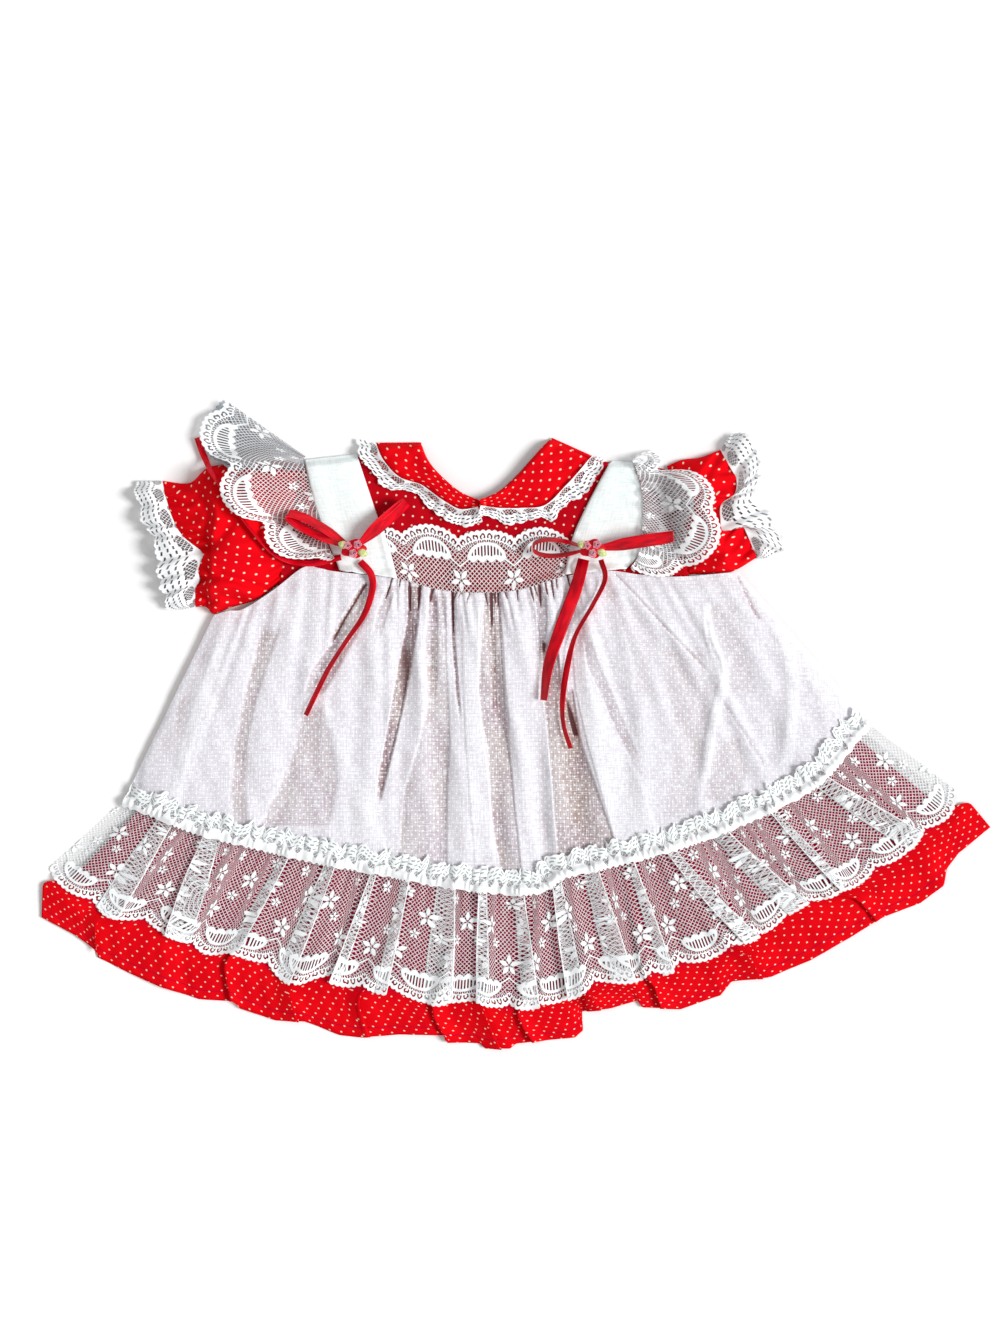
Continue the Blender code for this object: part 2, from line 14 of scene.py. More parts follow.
import bpy
import numpy as np
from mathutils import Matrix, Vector

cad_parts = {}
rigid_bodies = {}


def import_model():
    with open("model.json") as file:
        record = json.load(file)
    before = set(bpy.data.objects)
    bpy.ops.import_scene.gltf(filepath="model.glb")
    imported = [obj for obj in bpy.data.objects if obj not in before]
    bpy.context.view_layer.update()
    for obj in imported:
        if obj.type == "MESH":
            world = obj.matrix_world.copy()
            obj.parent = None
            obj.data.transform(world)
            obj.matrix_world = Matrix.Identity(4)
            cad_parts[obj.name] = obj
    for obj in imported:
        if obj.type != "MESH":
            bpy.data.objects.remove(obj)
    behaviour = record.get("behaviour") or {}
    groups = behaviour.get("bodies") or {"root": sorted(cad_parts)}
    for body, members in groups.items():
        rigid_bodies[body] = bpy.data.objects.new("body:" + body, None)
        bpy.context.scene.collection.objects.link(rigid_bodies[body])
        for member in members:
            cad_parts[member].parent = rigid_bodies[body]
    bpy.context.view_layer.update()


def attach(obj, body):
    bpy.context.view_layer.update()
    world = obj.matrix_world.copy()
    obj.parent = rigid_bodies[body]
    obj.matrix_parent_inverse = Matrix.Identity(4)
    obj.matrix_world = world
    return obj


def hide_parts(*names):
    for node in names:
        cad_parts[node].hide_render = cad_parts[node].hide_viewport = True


log = logging.getLogger("baby_dress")

Array = np.ndarray
Table = Sequence[Sequence[float]]

MM = 0.001
TAU = 2 * math.pi
BODY = "root"

# Floor that the pile of cloth is measured on
PILE_LOW = (-260.0, -185.0)
PILE_SIZE = (520, 375)

# Lines across the skirt, side to side
CHEST_SEAM: Table = (
    (-150.5, 54), (-143, 56), (-135.5, 57), (-120.5, 66.5), (-106, 77.5), (-97, 77), (-89.5, 75.5), (-59, 72),
    (-38, 66.5), (-18, 65), (2, 66.5), (23.5, 73), (44.5, 76), (62, 74), (82, 73), (111, 75.5),
)
LACE_SEAM: Table = (
    (-196, -39), (-178, -45), (-158, -53), (-128, -60.5), (-98, -67.5), (-68, -73), (-38, -79), (-8, -82.5),
    (10, -82.5), (16, -80), (23, -75), (42, -70.5), (72, -63), (92, -56.5), (112, -48.5), (132, -39.5),
    (148, -30), (160, -18), (168, -8), (176, 0.5),
)
LACE_EDGE: Table = (
    (-236, -75), (-222, -85), (-205, -96), (-180, -103), (-158, -115), (-138, -116.5), (-113, -130),
    (-98, -128.5), (-78, -134.5), (-58, -136), (-40, -141), (-22, -139), (-3, -144.5), (15, -141),
    (30, -137), (45, -130.5), (64.5, -129), (92, -119.5), (117, -110), (142, -92.5), (160, -86), (178, -77),
    (197, -63), (215, -48), (223.5, -36),
)
HEM: Table = (
    (-237, -97), (-220, -106), (-209.5, -113.5), (-209, -117), (-193, -125), (-178, -131.5), (-158, -138),
    (-140.5, -139), (-138, -142.5), (-120, -148.5), (-105.5, -149), (-88, -156), (-78, -157), (-58, -155.5),
    (-35, -156), (-34.5, -159.5), (-18, -160), (-15.5, -162.5), (-3, -162.5), (0, -160), (29.5, -157),
    (33.5, -153.5), (33, -144), (47, -142.5), (60.5, -138.5), (63, -142), (82, -143), (102, -136),
    (107.5, -129), (127, -127), (147, -118.5), (167, -107), (182, -97.5), (202, -90), (213.5, -81),
    (215, -73), (221, -65), (237, -52),
)


class Pleat(NamedTuple):
    """A fold that turns the cloth over itself: its places, its overlap, its turn, its height and its upper side."""

    seam: float
    edge: float
    overlap: float
    turn: float
    height: float
    way: int


class Crease(NamedTuple):
    """A soft trough or ridge along a line: its ends and middle, its half width and its height."""

    start: tuple[float, float]
    middle: tuple[float, float]
    end: tuple[float, float]
    width: float
    height: float


class Plane(NamedTuple):
    """A stretch of sheer cloth that lies lower with painted shade, and lies higher with a painted highlight where its
    shade is below nought: its edges from top to foot, its shade, and its soft widths.
    """

    left: Table
    right: Table
    shade: float
    soft: tuple[float, float]
    fade: tuple[float, float]


class Slit(NamedTuple):
    """A slit between two gathers, a hollow with painted shade in it: its place on the seam, its drift, its length and
    its width.
    """

    x: float
    drift: float
    length: float
    width: float


class Ring(NamedTuple):
    """A ring of a sleeve: its line from top to bottom as seen from above, and its height."""

    line: Table
    height: float


class Station(NamedTuple):
    """Where one line of a panel starts and where it ends."""

    start: tuple[float, float]
    end: tuple[float, float]


class Side(Enum):
    """The two sides of the dress as it is seen."""

    LEFT = "left"
    RIGHT = "right"


LACE_PLEATS: tuple[Pleat, ...] = (
    Pleat(0.060, 0.075, 13, 9, 3.2, 1),
    Pleat(0.120, 0.150, 14, 10, 4.0, -1),
    Pleat(0.215, 0.205, 6, 7, 3.0, 1),
    Pleat(0.270, 0.262, 9, 8, 3.6, 1),
    Pleat(0.325, 0.315, 5, 7, 3.0, -1),
    Pleat(0.365, 0.362, 6, 7, 3.4, 1),
    Pleat(0.415, 0.420, 15, 9, 4.2, 1),
    Pleat(0.460, 0.465, 7, 7, 3.6, -1),
    Pleat(0.505, 0.515, 8, 8, 4.6, 1),
    Pleat(0.555, 0.560, 9, 8, 5.0, -1),
    Pleat(0.600, 0.610, 12, 9, 5.0, 1),
    Pleat(0.650, 0.655, 6, 7, 3.2, 1),
    Pleat(0.700, 0.745, 8, 8, 3.6, -1),
    Pleat(0.765, 0.800, 12, 9, 4.0, 1),
    Pleat(0.835, 0.850, 5, 8, 3.0, -1),
    Pleat(0.905, 0.935, 12, 9, 3.4, 1),
)
HEM_PLEATS: tuple[Pleat, ...] = (
    Pleat(0.10, 0.060, 2, 8, 2.2, 1),
    Pleat(0.20, 0.200, 4, 7, 3.0, -1),
    Pleat(0.30, 0.262, 3, 7, 2.6, 1),
    Pleat(0.38, 0.330, 3, 7, 2.8, 1),
    Pleat(0.43, 0.412, 4, 7, 3.2, -1),
    Pleat(0.48, 0.458, 4, 6, 3.4, 1),
    Pleat(0.53, 0.496, 3, 6, 3.0, -1),
    Pleat(0.58, 0.570, 6, 7, 4.4, 1),
    Pleat(0.64, 0.640, 4, 7, 3.2, -1),
    Pleat(0.70, 0.735, 4, 7, 3.2, 1),
    Pleat(0.80, 0.860, 3, 8, 2.4, -1),
)

# Troughs and ridges of the pinafore's front
OVERLAY_CREASES: tuple[Crease, ...] = (
    Crease((-122, 60), (-131, 10), (-139, -50), 5.0, -2.4),
    Crease((-112, 60), (-122, 8), (-130, -52), 6.0, 2.2),
    Crease((-101, 14), (-110, -20), (-121, -56), 4.5, -1.8),
    Crease((-147, 44), (-158, 4), (-168, -30), 4.0, 2.4),
    Crease((-152, 44), (-166, 6), (-180, -30), 3.0, -1.6),
    Crease((-92, 66), (-101, 30), (-104, 8), 4.0, 1.8),
    Crease((-83, 66), (-92, 36), (-100, 16), 3.0, -1.6),
    Crease((-66, 66), (-70, 10), (-78, -64), 6.0, 2.6),
    Crease((-54, 68), (-56, 10), (-60, -68), 4.0, -2.8),
    Crease((-47, 66), (-48, 10), (-51, -68), 5.0, 2.6),
    Crease((-41, 66), (-42, 46), (-43, 24), 2.4, -2.0),
    Crease((-32, 66), (-34, 0), (-39, -72), 3.6, -2.6),
    Crease((-22, 66), (-23, 0), (-25, -74), 6.0, 2.8),
    Crease((-10, 66), (-9, 0), (-8, -78), 3.6, -3.0),
    Crease((0, 66), (2, 0), (3, -78), 5.5, 3.0),
    Crease((10, 68), (12, 0), (14, -76), 3.6, -3.2),
    Crease((18, 70), (20, 30), (20, -70), 4.0, 2.0),
    Crease((31, 74), (27, 10), (33, -66), 5.0, -3.6),
    Crease((36, 72), (38, 10), (46, -66), 5.0, 3.6),
    Crease((46, 74), (70, 50), (98, 22), 3.2, 2.8),
    Crease((44, 70), (66, 44), (92, 14), 3.0, -2.2),
    Crease((50, 62), (62, 8), (64, -44), 4.0, 2.4),
    Crease((44, 60), (54, 8), (55, -46), 4.0, -2.0),
    Crease((90, 56), (103, 30), (92, -40), 3.6, 2.4),
    Crease((84, 50), (95, 24), (84, -40), 3.6, -1.8),
    Crease((104, 14), (116, -10), (130, -34), 3.4, 2.2),
    Crease((99, 10), (110, -14), (122, -38), 3.4, -1.8),
    Crease((130, 50), (138, 20), (132, -22), 3.6, 2.0),
    Crease((124, 50), (131, 20), (126, -20), 3.6, -1.6),
    Crease((148, 26), (154, 6), (154, -18), 3.4, 2.0),
    Crease((56, 68), (84, 64), (100, 70), 4.0, 1.2),
)
# Planes of painted shade on the pinafore's front, each also lowered; those whose shade is below nought are painted
# highlight and raised.
PLANES: tuple[Plane, ...] = (
    Plane(
        ((-126, 49), (-132, 26.5), (-136.5, 6.5), (-140.5, -13.5), (-142, -38.5), (-139, -56)),
        ((-117, 49), (-123, 31.5), (-129.5, 11.5), (-134, -8.5), (-135.5, -28.5), (-133, -56)),
        0.45, (2, 2.5), (5, 1.5),
    ),
    Plane(
        ((-105, 11.5), (-108, -3.5), (-113, -21), (-127, -51)),
        ((-97, 11.5), (-92, -8.5), (-88.5, -28.5), (-95, -58.5)), 0.4, (2.5, 2.5), (7.5, 0.5),
    ),
    Plane(
        ((-75, 70), (-85.5, 52.5), (-92.5, 39), (-102, 25.5), (-105.5, 13.5)),
        ((-69, 70), (-76, 50.5), (-86.5, 31.5), (-95, 16.5), (-101, 8.5)), 0.62, (0.75, 2.5), (1, 4),
    ),
    Plane(
        ((-76, 70), (-86.5, 52.5), (-93.5, 39)),
        ((-73.5, 70), (-84, 52.5), (-91.5, 39)), 0.95, (0.75, 0.75), (0.5, 5),
    ),
    Plane(((-64, 68.5), (-69, 55.5), (-72, 41.5)), ((-59.5, 68.5), (-64, 55.5), (-68, 41.5)), 0.4, (1, 1.5), (1, 7)),
    Plane(
        ((-54, 68.5), (-54, 51.5), (-58, 31.5), (-61.5, 11.5), (-65, -8.5), (-68.5, -27.5), (-69.5, -41)),
        ((-48, 68.5), (-48.5, 51.5), (-51.5, 31.5), (-55.5, 11.5), (-60, -8.5), (-65, -28.5), (-68, -41)),
        0.95, (0.6, 1), (0.5, 7),
    ),
    Plane(
        ((-43, 65.5), (-45, 41.5), (-44, 11.5), (-48, -8.5), (-55.5, -33.5), (-59, -69.5)),
        ((-35, 65.5), (-34.5, 31.5), (-33, -8.5), (-34.5, -38.5), (-34.5, -69.5)), 0.4, (2, 1.5), (3, 0.5),
    ),
    Plane(
        ((-43.5, 63.5), (-42.5, 36.5), (-43, 6.5)),
        ((-39.5, 63.5), (-39, 36.5), (-40, 6.5)), 0.28, (1, 1.5), (2, 12.5),
    ),
    Plane(
        ((-32.5, 67.5), (-32, 41.5), (-30, 16.5), (-28.5, -1)),
        ((-31, 67.5), (-30.5, 41.5), (-28.5, 16.5), (-27, -1)), 0.8, (0.5, 1), (0.5, 14),
    ),
    Plane(
        ((-15, 67.5), (-17.5, 41.5), (-18.5, 16.5), (-17, 1.5), (-14, -13.5), (-12.5, -38.5), (-11, -53.5), (-7, -76)),
        ((-8, 67.5), (-7.5, 41.5), (-6, 16.5), (-4.5, -3.5), (-2.5, -21), (-1, -38.5), (3, -76)),
        0.58, (0.75, 1.25), (1, 0.5),
    ),
    Plane(
        ((-13.5, 67.5), (-13, 41.5), (-12.5, 16.5), (-11.5, 1.5)),
        ((-11, 67.5), (-10.5, 41.5), (-10, 16.5), (-9.5, 1.5)), 0.3, (0.75, 0.75), (0.5, 11),
    ),
    Plane(
        ((-9.5, 61.5), (-8, 41.5), (-6.5, 16.5), (-4, -8.5)),
        ((-8.25, 61.5), (-6.5, 41.5), (-5, 16.5), (-2.5, -8.5)), 0.25, (0.5, 0.75), (2, 9),
    ),
    Plane(((9, 68.5), (10.5, 51.5), (11.5, 34)), ((15, 68.5), (15.5, 51.5), (14.5, 34)), 0.42, (0.75, 0.75), (1, 3)),
    Plane(
        ((13, 41.5), (13, 36.5), (14, 11.5), (16.5, -13.5), (18.5, -38.5), (21, -68.5)),
        ((19.5, 41.5), (20.5, 36.5), (23, 16.5), (28.5, 4), (33.5, -13.5), (40.5, -33.5), (52, -68.5)),
        0.74, (0.6, 1.25), (2, 0.5),
    ),
    Plane(((24.5, 17.5), (26, 4), (29, -7.5)), ((28, 17.5), (30, 4), (32, -7.5)), 0.5, (0.75, 0.75), (1.5, 3)),
    Plane(
        ((33.5, 41.5), (35, 29), (42, 14), (51, -6), (58, -19.5)),
        ((37, 41.5), (41, 29), (48, 14), (56, -6), (62, -19.5)), 0.32, (1, 2), (2, 6),
    ),
    Plane(
        ((42, 67.5), (50, 55.5), (55, 41.5), (58, 29), (60, 6.5)),
        ((48, 67.5), (59, 49), (67, 34), (69.5, 11.5), (67, 1.5)), 0.24, (1, 4), (2, 12),
    ),
    Plane(
        ((48, 75), (61, 61.5), (74, 47), (87, 34), (98, 22.5)),
        ((49.25, 75), (62.5, 61.5), (75.5, 47), (88.5, 34), (99, 22.5)), 0.6, (0.5, 1), (0.5, 12.5),
    ),
    Plane(
        ((72, 41.5), (76, 11.5), (78, -18.5), (72, -48.5)),
        ((92, 41.5), (96, 6.5), (92, -18.5), (87, -48.5)), 0.18, (5, 3), (7, 2.5),
    ),
    Plane(
        ((94.5, 61.5), (98, 41.5), (104, 26.5), (106, 11.5)),
        ((109.5, 61.5), (114.5, 41.5), (118, 16.5), (120, 1.5)), 0.2, (1.5, 5), (4, 7),
    ),
    Plane(((93.5, 54), (95, 41.5), (101.5, 27.5)), ((95, 54), (96.5, 41.5), (103, 27.5)), 0.35, (0.75, 0.75), (4, 4)),
    Plane(
        ((102, 10.5), (113, -5), (124, -23.5)),
        ((103.5, 10.5), (114.5, -5), (126, -23.5)), 0.45, (0.75, 1.5), (1.5, 4),
    ),
    Plane(
        ((100, -6), (96, -21), (92, -38.5)),
        ((111, -11), (114.5, -23.5), (109.5, -38.5)), 0.26, (1.5, 2.5), (3, 1),
    ),
    Plane(
        ((109.5, 74), (115.5, 60.5), (120.5, 50.5)),
        ((111, 74), (117, 60.5), (122.5, 50.5)), 0.75, (0.5, 1), (0.5, 4),
    ),
    Plane(
        ((114.5, 69), (124.5, 49), (137, 29), (152, 11.5), (164.5, -6)),
        ((142, 69), (167, 49), (192, 29), (217, 11.5), (232, -6)), -0.3, (3, 3), (2.5, 2),
    ),
    Plane(
        ((-27, 61.5), (-26.5, 21.5), (-25, -8.5), (-23, -38.5), (-20, -73.5)),
        ((-18, 61.5), (-19, 21.5), (-17, -3.5), (-13.5, -28.5), (-12, -53.5), (-9.5, -73.5)),
        -0.28, (1.5, 0.75), (4, 0.5),
    ),
    Plane(((-88, -26), (-85.5, -68.5)), ((-69, -26), (-64, -68.5)), -0.25, (5, 3), (15, 0.5)),
    Plane(
        ((-149, 41.5), (-160, 11.5), (-168, -13.5), (-174, -41)),
        ((-144, 41.5), (-154, 11.5), (-162, -13.5), (-168, -41)), -0.3, (1, 2.5), (5, 2.5),
    ),
    Plane(
        ((92, 61.5), (93, 46.5), (96, 34), (101, 21.5), (98, 11.5), (94, -6), (91, -31)),
        ((96, 61.5), (98, 46.5), (102, 34), (105.5, 21.5), (103, 11.5), (98.5, -6), (95, -31)), -0.35, (1.5, 1), (4, 7),
    ),
    Plane(
        ((28, 36.5), (29.5, 16.5), (35, -8.5), (42, -33.5), (50, -61)),
        ((34, 36.5), (37, 16.5), (48, -3.5), (62, -28.5), (73, -61)), -0.3, (1, 3), (3, 1),
    ),
    Plane(
        ((128, 56.5), (133, 31.5), (134.5, 6.5), (131, -21)),
        ((137, 56.5), (140.5, 31.5), (140, 6.5), (137, -21)), -0.3, (3, 2), (6, 2.5),
    ),
    Plane(((-168, 16.5), (-170, -11)), ((-162, 16.5), (-163, -11)), 0.25, (2, 2), (6, 6)),
)

# Slits between the gathers under the lace insertion: hollows with painted shade in them
SLITS: tuple[Slit, ...] = (
    Slit(-61.5, -4, 13, 1), Slit(-57.5, -1, 5, 0.8), Slit(-53, 0.3, 16, 1.2), Slit(-47.75, -0.7, 14, 1.5),
    Slit(-41.5, -1.5, 8, 1.5), Slit(-31.5, 0.3, 22, 1), Slit(-29.5, -2, 5, 1), Slit(-27, -2.5, 4, 0.8),
    Slit(-23, -2, 6, 0.8), Slit(-15.5, 1.5, 7, 0.8), Slit(-12.5, 0.5, 18, 1.2), Slit(-10.75, 0.5, 6, 1),
    Slit(-9, 0, 8, 0.8), Slit(-5.5, 1.5, 5, 0.8), Slit(0.5, 0.5, 6, 0.8), Slit(7, 2, 8, 1),
    Slit(9, 2, 6, 0.8), Slit(11.5, 1, 12, 1.3), Slit(14.5, 1.5, 8, 1), Slit(17.5, 1.5, 10, 1),
    Slit(20, 0.5, 6, 0.8), Slit(25.5, 1.5, 6, 1),
)

BODICE_FRONT: tuple[Station, ...] = (
    Station((-107.5, 128), (-119, 66)), Station((-92, 129.6), (-113.5, 70)), Station((-77, 132), (-106, 77)),
    Station((-62, 138), (-98, 76)), Station((-49, 138.8), (-89.5, 75)), Station((-45, 130.5), (-80, 74)),
    Station((-39, 123), (-70, 73)), Station((-29, 114.5), (-59, 71)), Station((-18, 111), (-48.5, 69)),
    Station((-8.5, 115.3), (-38, 66)), Station((1.2, 124.5), (-18, 64.6)), Station((11, 135.5), (2, 66)),
    Station((18, 140.8), (12.5, 69.5)), Station((28, 136.5), (23.5, 72)), Station((38, 132), (34, 74)),
    Station((49, 128), (44.5, 75)), Station((62, 126.5), (62, 73.5)), Station((75.5, 126), (86.5, 73)),
)
BACK_HALVES: dict[Side, tuple[Station, ...]] = {
    Side.LEFT: (
        Station((-106.5, 129), (-118, 69.8)), Station((-96, 130.5), (-106, 79)), Station((-84, 132), (-89.5, 76.6)),
        Station((-73, 133.8), (-59, 73)), Station((-62, 135.5), (-38, 67.6)), Station((-51, 137), (-20, 66.2)),
    ),
    Side.RIGHT: (
        Station((20.5, 139), (-14, 66.4)), Station((31, 135), (2, 67.6)), Station((42, 131), (23.5, 74)),
        Station((53, 129), (44.5, 77)), Station((64, 128), (62, 75.1)), Station((74.5, 127), (85.5, 74.7)),
    ),
}

COLLAR_NECK: dict[Side, Table] = {
    Side.LEFT: ((-18, 111), (-28, 115.5), (-38, 124), (-44, 131.5), (-47.5, 140.2)),
    Side.RIGHT: ((-18.5, 111), (-8, 116), (2, 125), (12, 136.5), (18, 142.5)),
}
COLLAR_EDGE: dict[Side, Table] = {
    Side.LEFT: ((-19, 107.5), (-28, 106.5), (-38, 112), (-47, 118.5), (-58, 122.5), (-66, 131), (-70, 140)),
    Side.RIGHT: ((-17.5, 108), (-8, 107), (2, 107), (14.5, 108.5), (25, 118.5), (31, 125), (38, 133.5)),
}
COLLAR_LACE_EDGE: dict[Side, Table] = {
    Side.LEFT: (
        (-16, 100.5), (-21, 98.5), (-28, 98), (-36, 102), (-44, 108), (-51, 115), (-58, 116), (-66, 117.5),
        (-71, 125), (-77, 131), (-79.5, 141.5),
    ),
    Side.RIGHT: (
        (-20, 100), (-14, 103.5), (-6, 99), (3, 100), (12, 102.5), (18, 100.5), (25, 109), (33, 113), (40, 122),
        (45, 132),
    ),
}

STRAPS: dict[Side, tuple[Table, Table]] = {
    Side.LEFT: (
        ((-88, 76.5), (-98, 101.5), (-102, 115), (-105.8, 131.5)),
        ((-59, 72), (-64, 90), (-70, 106), (-79.5, 134.5)),
    ),
    Side.RIGHT: (
        ((24, 74), (28, 92), (35, 108), (45, 127), (48, 131)),
        ((55, 77), (61, 84), (63, 97), (63, 112), (61, 122), (58, 130.5)),
    ),
}

YOKE_TOP: Table = ((-68, 99), (-45, 99.5), (-18, 96.5), (12, 98), (29, 94))
YOKE_FOOT: Table = ((-61, 72.5), (-38, 66.3), (-18, 64.8), (2, 66.3), (25, 73.5))

SLEEVE_ENDS: dict[Side, Table] = {
    Side.LEFT: (
        (-176.5, 121), (-174, 111.5), (-170.5, 101.5), (-165.5, 93), (-156, 85), (-156.5, 80.5), (-158, 76.5),
        (-157.5, 71.5), (-159.5, 66.5), (-160, 58),
    ),
    Side.RIGHT: (
        (102, 136.5), (105.5, 129), (109.5, 121.5), (108.5, 114), (102, 109), (101.5, 101.5), (103, 95),
        (112, 98), (116, 91.5), (120, 82.5),
    ),
}
SLEEVE_LACE_EDGES: dict[Side, Table] = {
    Side.LEFT: (
        (-188, 121), (-191, 117), (-188, 111.5), (-186.5, 101.5), (-183, 96.5), (-179, 89), (-178, 74),
        (-176.5, 66.5), (-174, 61.5), (-174.5, 57), (-168, 56.5),
    ),
    Side.RIGHT: (
        (106, 143), (111, 145.5), (117, 141.5), (120.5, 134), (121, 121.5), (117, 111.5), (124.5, 106.5),
        (129.5, 96.5), (133.5, 89), (129.5, 84), (121, 81.5),
    ),
}
SLEEVES: dict[Side, tuple[Ring, ...]] = {
    Side.LEFT: (
        Ring(((-107, 130.5), (-112, 99.5), (-118, 70)), 5.5),
        Ring(((-122, 131), (-125, 97), (-129, 62)), 12),
        Ring(((-141, 129.5), (-140, 93), (-143, 57.5)), 17),
        Ring(((-154, 127.5), (-150, 91), (-151, 54.5)), 16),
        Ring(((-163, 120), (-162, 108), (-157, 97), (-151, 88), (-153, 72), (-155, 58)), 12),
        Ring(SLEEVE_ENDS[Side.LEFT], 8),
    ),
    Side.RIGHT: (
        Ring(((75.5, 128.5), (81, 101), (86.5, 74.2)), 5.5),
        Ring(((83, 131.5), (87, 104), (96, 74.5)), 11),
        Ring(((91, 132.5), (93, 106), (105, 75)), 14),
        Ring(((97, 134.5), (99, 120), (96, 104), (103, 92), (111, 77)), 12),
        Ring(SLEEVE_ENDS[Side.RIGHT], 8),
    ),
}
SLEEVE_CREASES: tuple[Crease, ...] = (
    Crease((-155, 84), (-145, 94), (-138, 101), 2.6, -2.2),
    Crease((-153, 90), (-152, 104), (-158, 116), 2.6, -1.6),
    Crease((-150, 88), (-148, 104), (-150, 120), 3.0, 1.6),
    Crease((-159, 71), (-146, 73.5), (-124, 66), 2.2, -2.8),
    Crease((-158, 66), (-140, 68.5), (-126, 62), 3.4, 2.4),
    Crease((-155, 59), (-147, 63), (-134, 60), 2.2, -2.2),
    Crease((-156, 82), (-140, 86), (-122, 92), 3.0, 1.4),
    Crease((-152, 78), (-138, 78), (-122, 80), 2.8, -1.4),
    Crease((-134, 124), (-132, 112), (-140, 98), 3.0, 1.6),
    Crease((-126, 118), (-124, 100), (-128, 84), 3.0, -1.4),
    Crease((104, 104), (96, 104), (88, 98), 2.6, -2.2),
    Crease((104, 110), (96, 114), (88, 118), 3.0, 1.6),
    Crease((106, 98), (98, 94), (90, 86), 3.0, 1.8),
    Crease((114, 90), (104, 86), (92, 82), 2.4, -1.6),
    Crease((100, 132), (95, 124), (90, 112), 2.6, -1.4),
)

# Lace wings: sewn edge at the strap and free edge, foot to shoulder
WINGS: dict[Side, tuple[Station, ...]] = {
    Side.LEFT: (
        Station((-90, 82), (-93, 80)), Station((-92.4, 86), (-106, 80)), Station((-94, 91), (-117, 83)),
        Station((-96, 96), (-124.5, 91)), Station((-97.6, 101), (-128, 98)), Station((-99, 106), (-137, 101)),
        Station((-100.4, 111), (-143.5, 108)), Station((-102, 117), (-146.5, 117)),
        Station((-103.6, 122), (-146.5, 124)), Station((-105, 127), (-147, 129)),
        Station((-105.6, 130), (-154, 134)), Station((-105.8, 131), (-157.5, 142)),
        Station((-105.8, 131.8), (-157, 152)), Station((-105.6, 132.4), (-153, 159)),
        Station((-105, 133), (-147, 162.5)),
    ),
    Side.RIGHT: (
        Station((57, 77.5), (56, 76)), Station((60, 82), (64, 73.5)), Station((61.6, 88), (77, 72.5)),
        Station((62.4, 94), (90, 76)), Station((62.8, 99), (98, 85)), Station((63, 104), (102, 95)),
        Station((63, 109), (102.5, 104)), Station((62.6, 114), (101, 111)), Station((62, 118), (96, 119)),
        Station((61, 122), (87, 125.5)), Station((60, 125), (76, 127)), Station((59, 128), (77, 131)),
        Station((58, 130), (71, 136)), Station((57.5, 131), (63, 135)),
    ),
}

BOW_KNOTS: dict[Side, tuple[float, float]] = {Side.LEFT: (-80.5, 86.5), Side.RIGHT: (37.5, 86.5)}

TAIL_LEFT_UP: Table = (
    (-87, 82.6), (-103, 79.5), (-118, 83), (-130, 95), (-141, 110), (-151, 125), (-156, 134), (-159, 142.5),
)
TAIL_LEFT_DOWN: Table = (
    (-77.5, 80.5), (-72, 74), (-71.5, 66), (-75.5, 54), (-84, 41.5), (-93, 27.5), (-99, 15.5), (-104.5, 4),
)
TAIL_RIGHT_WIDE: Table = ((33.5, 81.5), (29.5, 66.5), (22, 46.5), (16, 29), (13.5, 11.5))
TAIL_RIGHT_CURLED: Table = (
    (42, 81.2), (44, 71.5), (38, 59), (29.5, 44), (25.5, 29), (23, 11.5), (23.5, -1), (27, -12.5),
)


def smooth(value: Array | float, low: float, high: float) -> Array:
    """A soft step from 0 at low to 1 at high, three squares less two cubes."""
    share = np.clip((np.asarray(value, dtype=float) - low) / (high - low), 0.0, 1.0)
    return share * share * (3 - 2 * share)


def bump(value: Array) -> Array:
    """A raised cosine: 1 at 0 and 0 at 1 either way."""
    return 0.5 + 0.5 * np.cos(math.pi * np.clip(value, -1.0, 1.0))


def wander(value: Array, length: float, seed: float) -> Array:
    """A slow uneven wave between about -1 and 1, three sines of unlike lengths."""
    phase = TAU * value / length
    return (
        0.5 * np.sin(phase + seed)
        + 0.3 * np.sin(1.73 * phase + 2.1 * seed + 1.0)
        + 0.2 * np.sin(2.91 * phase + 3.7 * seed + 2.0)
    )


class Line:
    """A smooth line through points, which gives its place at any share of its length."""

    def __init__(self, table: Table, curved: bool = True) -> None:
        """Joins the points.

        Args:
            table: Points of two or three numbers.
            curved: Rounds the line by Catmull and Rom's cubic between each pair of points.
        """
        knots = np.asarray(table, dtype=float)
        if curved and len(knots) > 2:
            before = np.vstack([2 * knots[0] - knots[1], knots, 2 * knots[-1] - knots[-2]])
            step = np.linspace(0.0, 1.0, 12, endpoint=False)[None, :, None]
            a, b, c, d = (before[i:len(knots) - 1 + i, None, :] for i in range(4))
            curve = 0.5 * (
                2 * b + (c - a) * step + (2 * a - 5 * b + 4 * c - d) * step**2
                + (3 * b - a - 3 * c + d) * step**3
            )
            knots = np.vstack([curve.reshape(-1, knots.shape[1]), knots[-1:]])
        self.knots = knots
        gaps = np.linalg.norm(np.diff(knots, axis=0), axis=1)
        self.along = np.concatenate([[0.0], np.cumsum(gaps)])
        self.length = float(self.along[-1])

    def at(self, share: Array) -> Array:
        """Places at shares of the length, carried straight on past either end."""
        wanted = np.asarray(share, dtype=float) * self.length
        place = np.stack(
            [np.interp(wanted, self.along, self.knots[:, axis]) for axis in range(self.knots.shape[1])], axis=-1
        )
        start = (self.knots[1] - self.knots[0]) / max(self.along[1], 1e-9)
        end = (self.knots[-1] - self.knots[-2]) / max(self.along[-1] - self.along[-2], 1e-9)
        under = np.minimum(wanted, 0.0)[..., None]
        over = np.maximum(wanted - self.length, 0.0)[..., None]
        return place + under * start + over * end


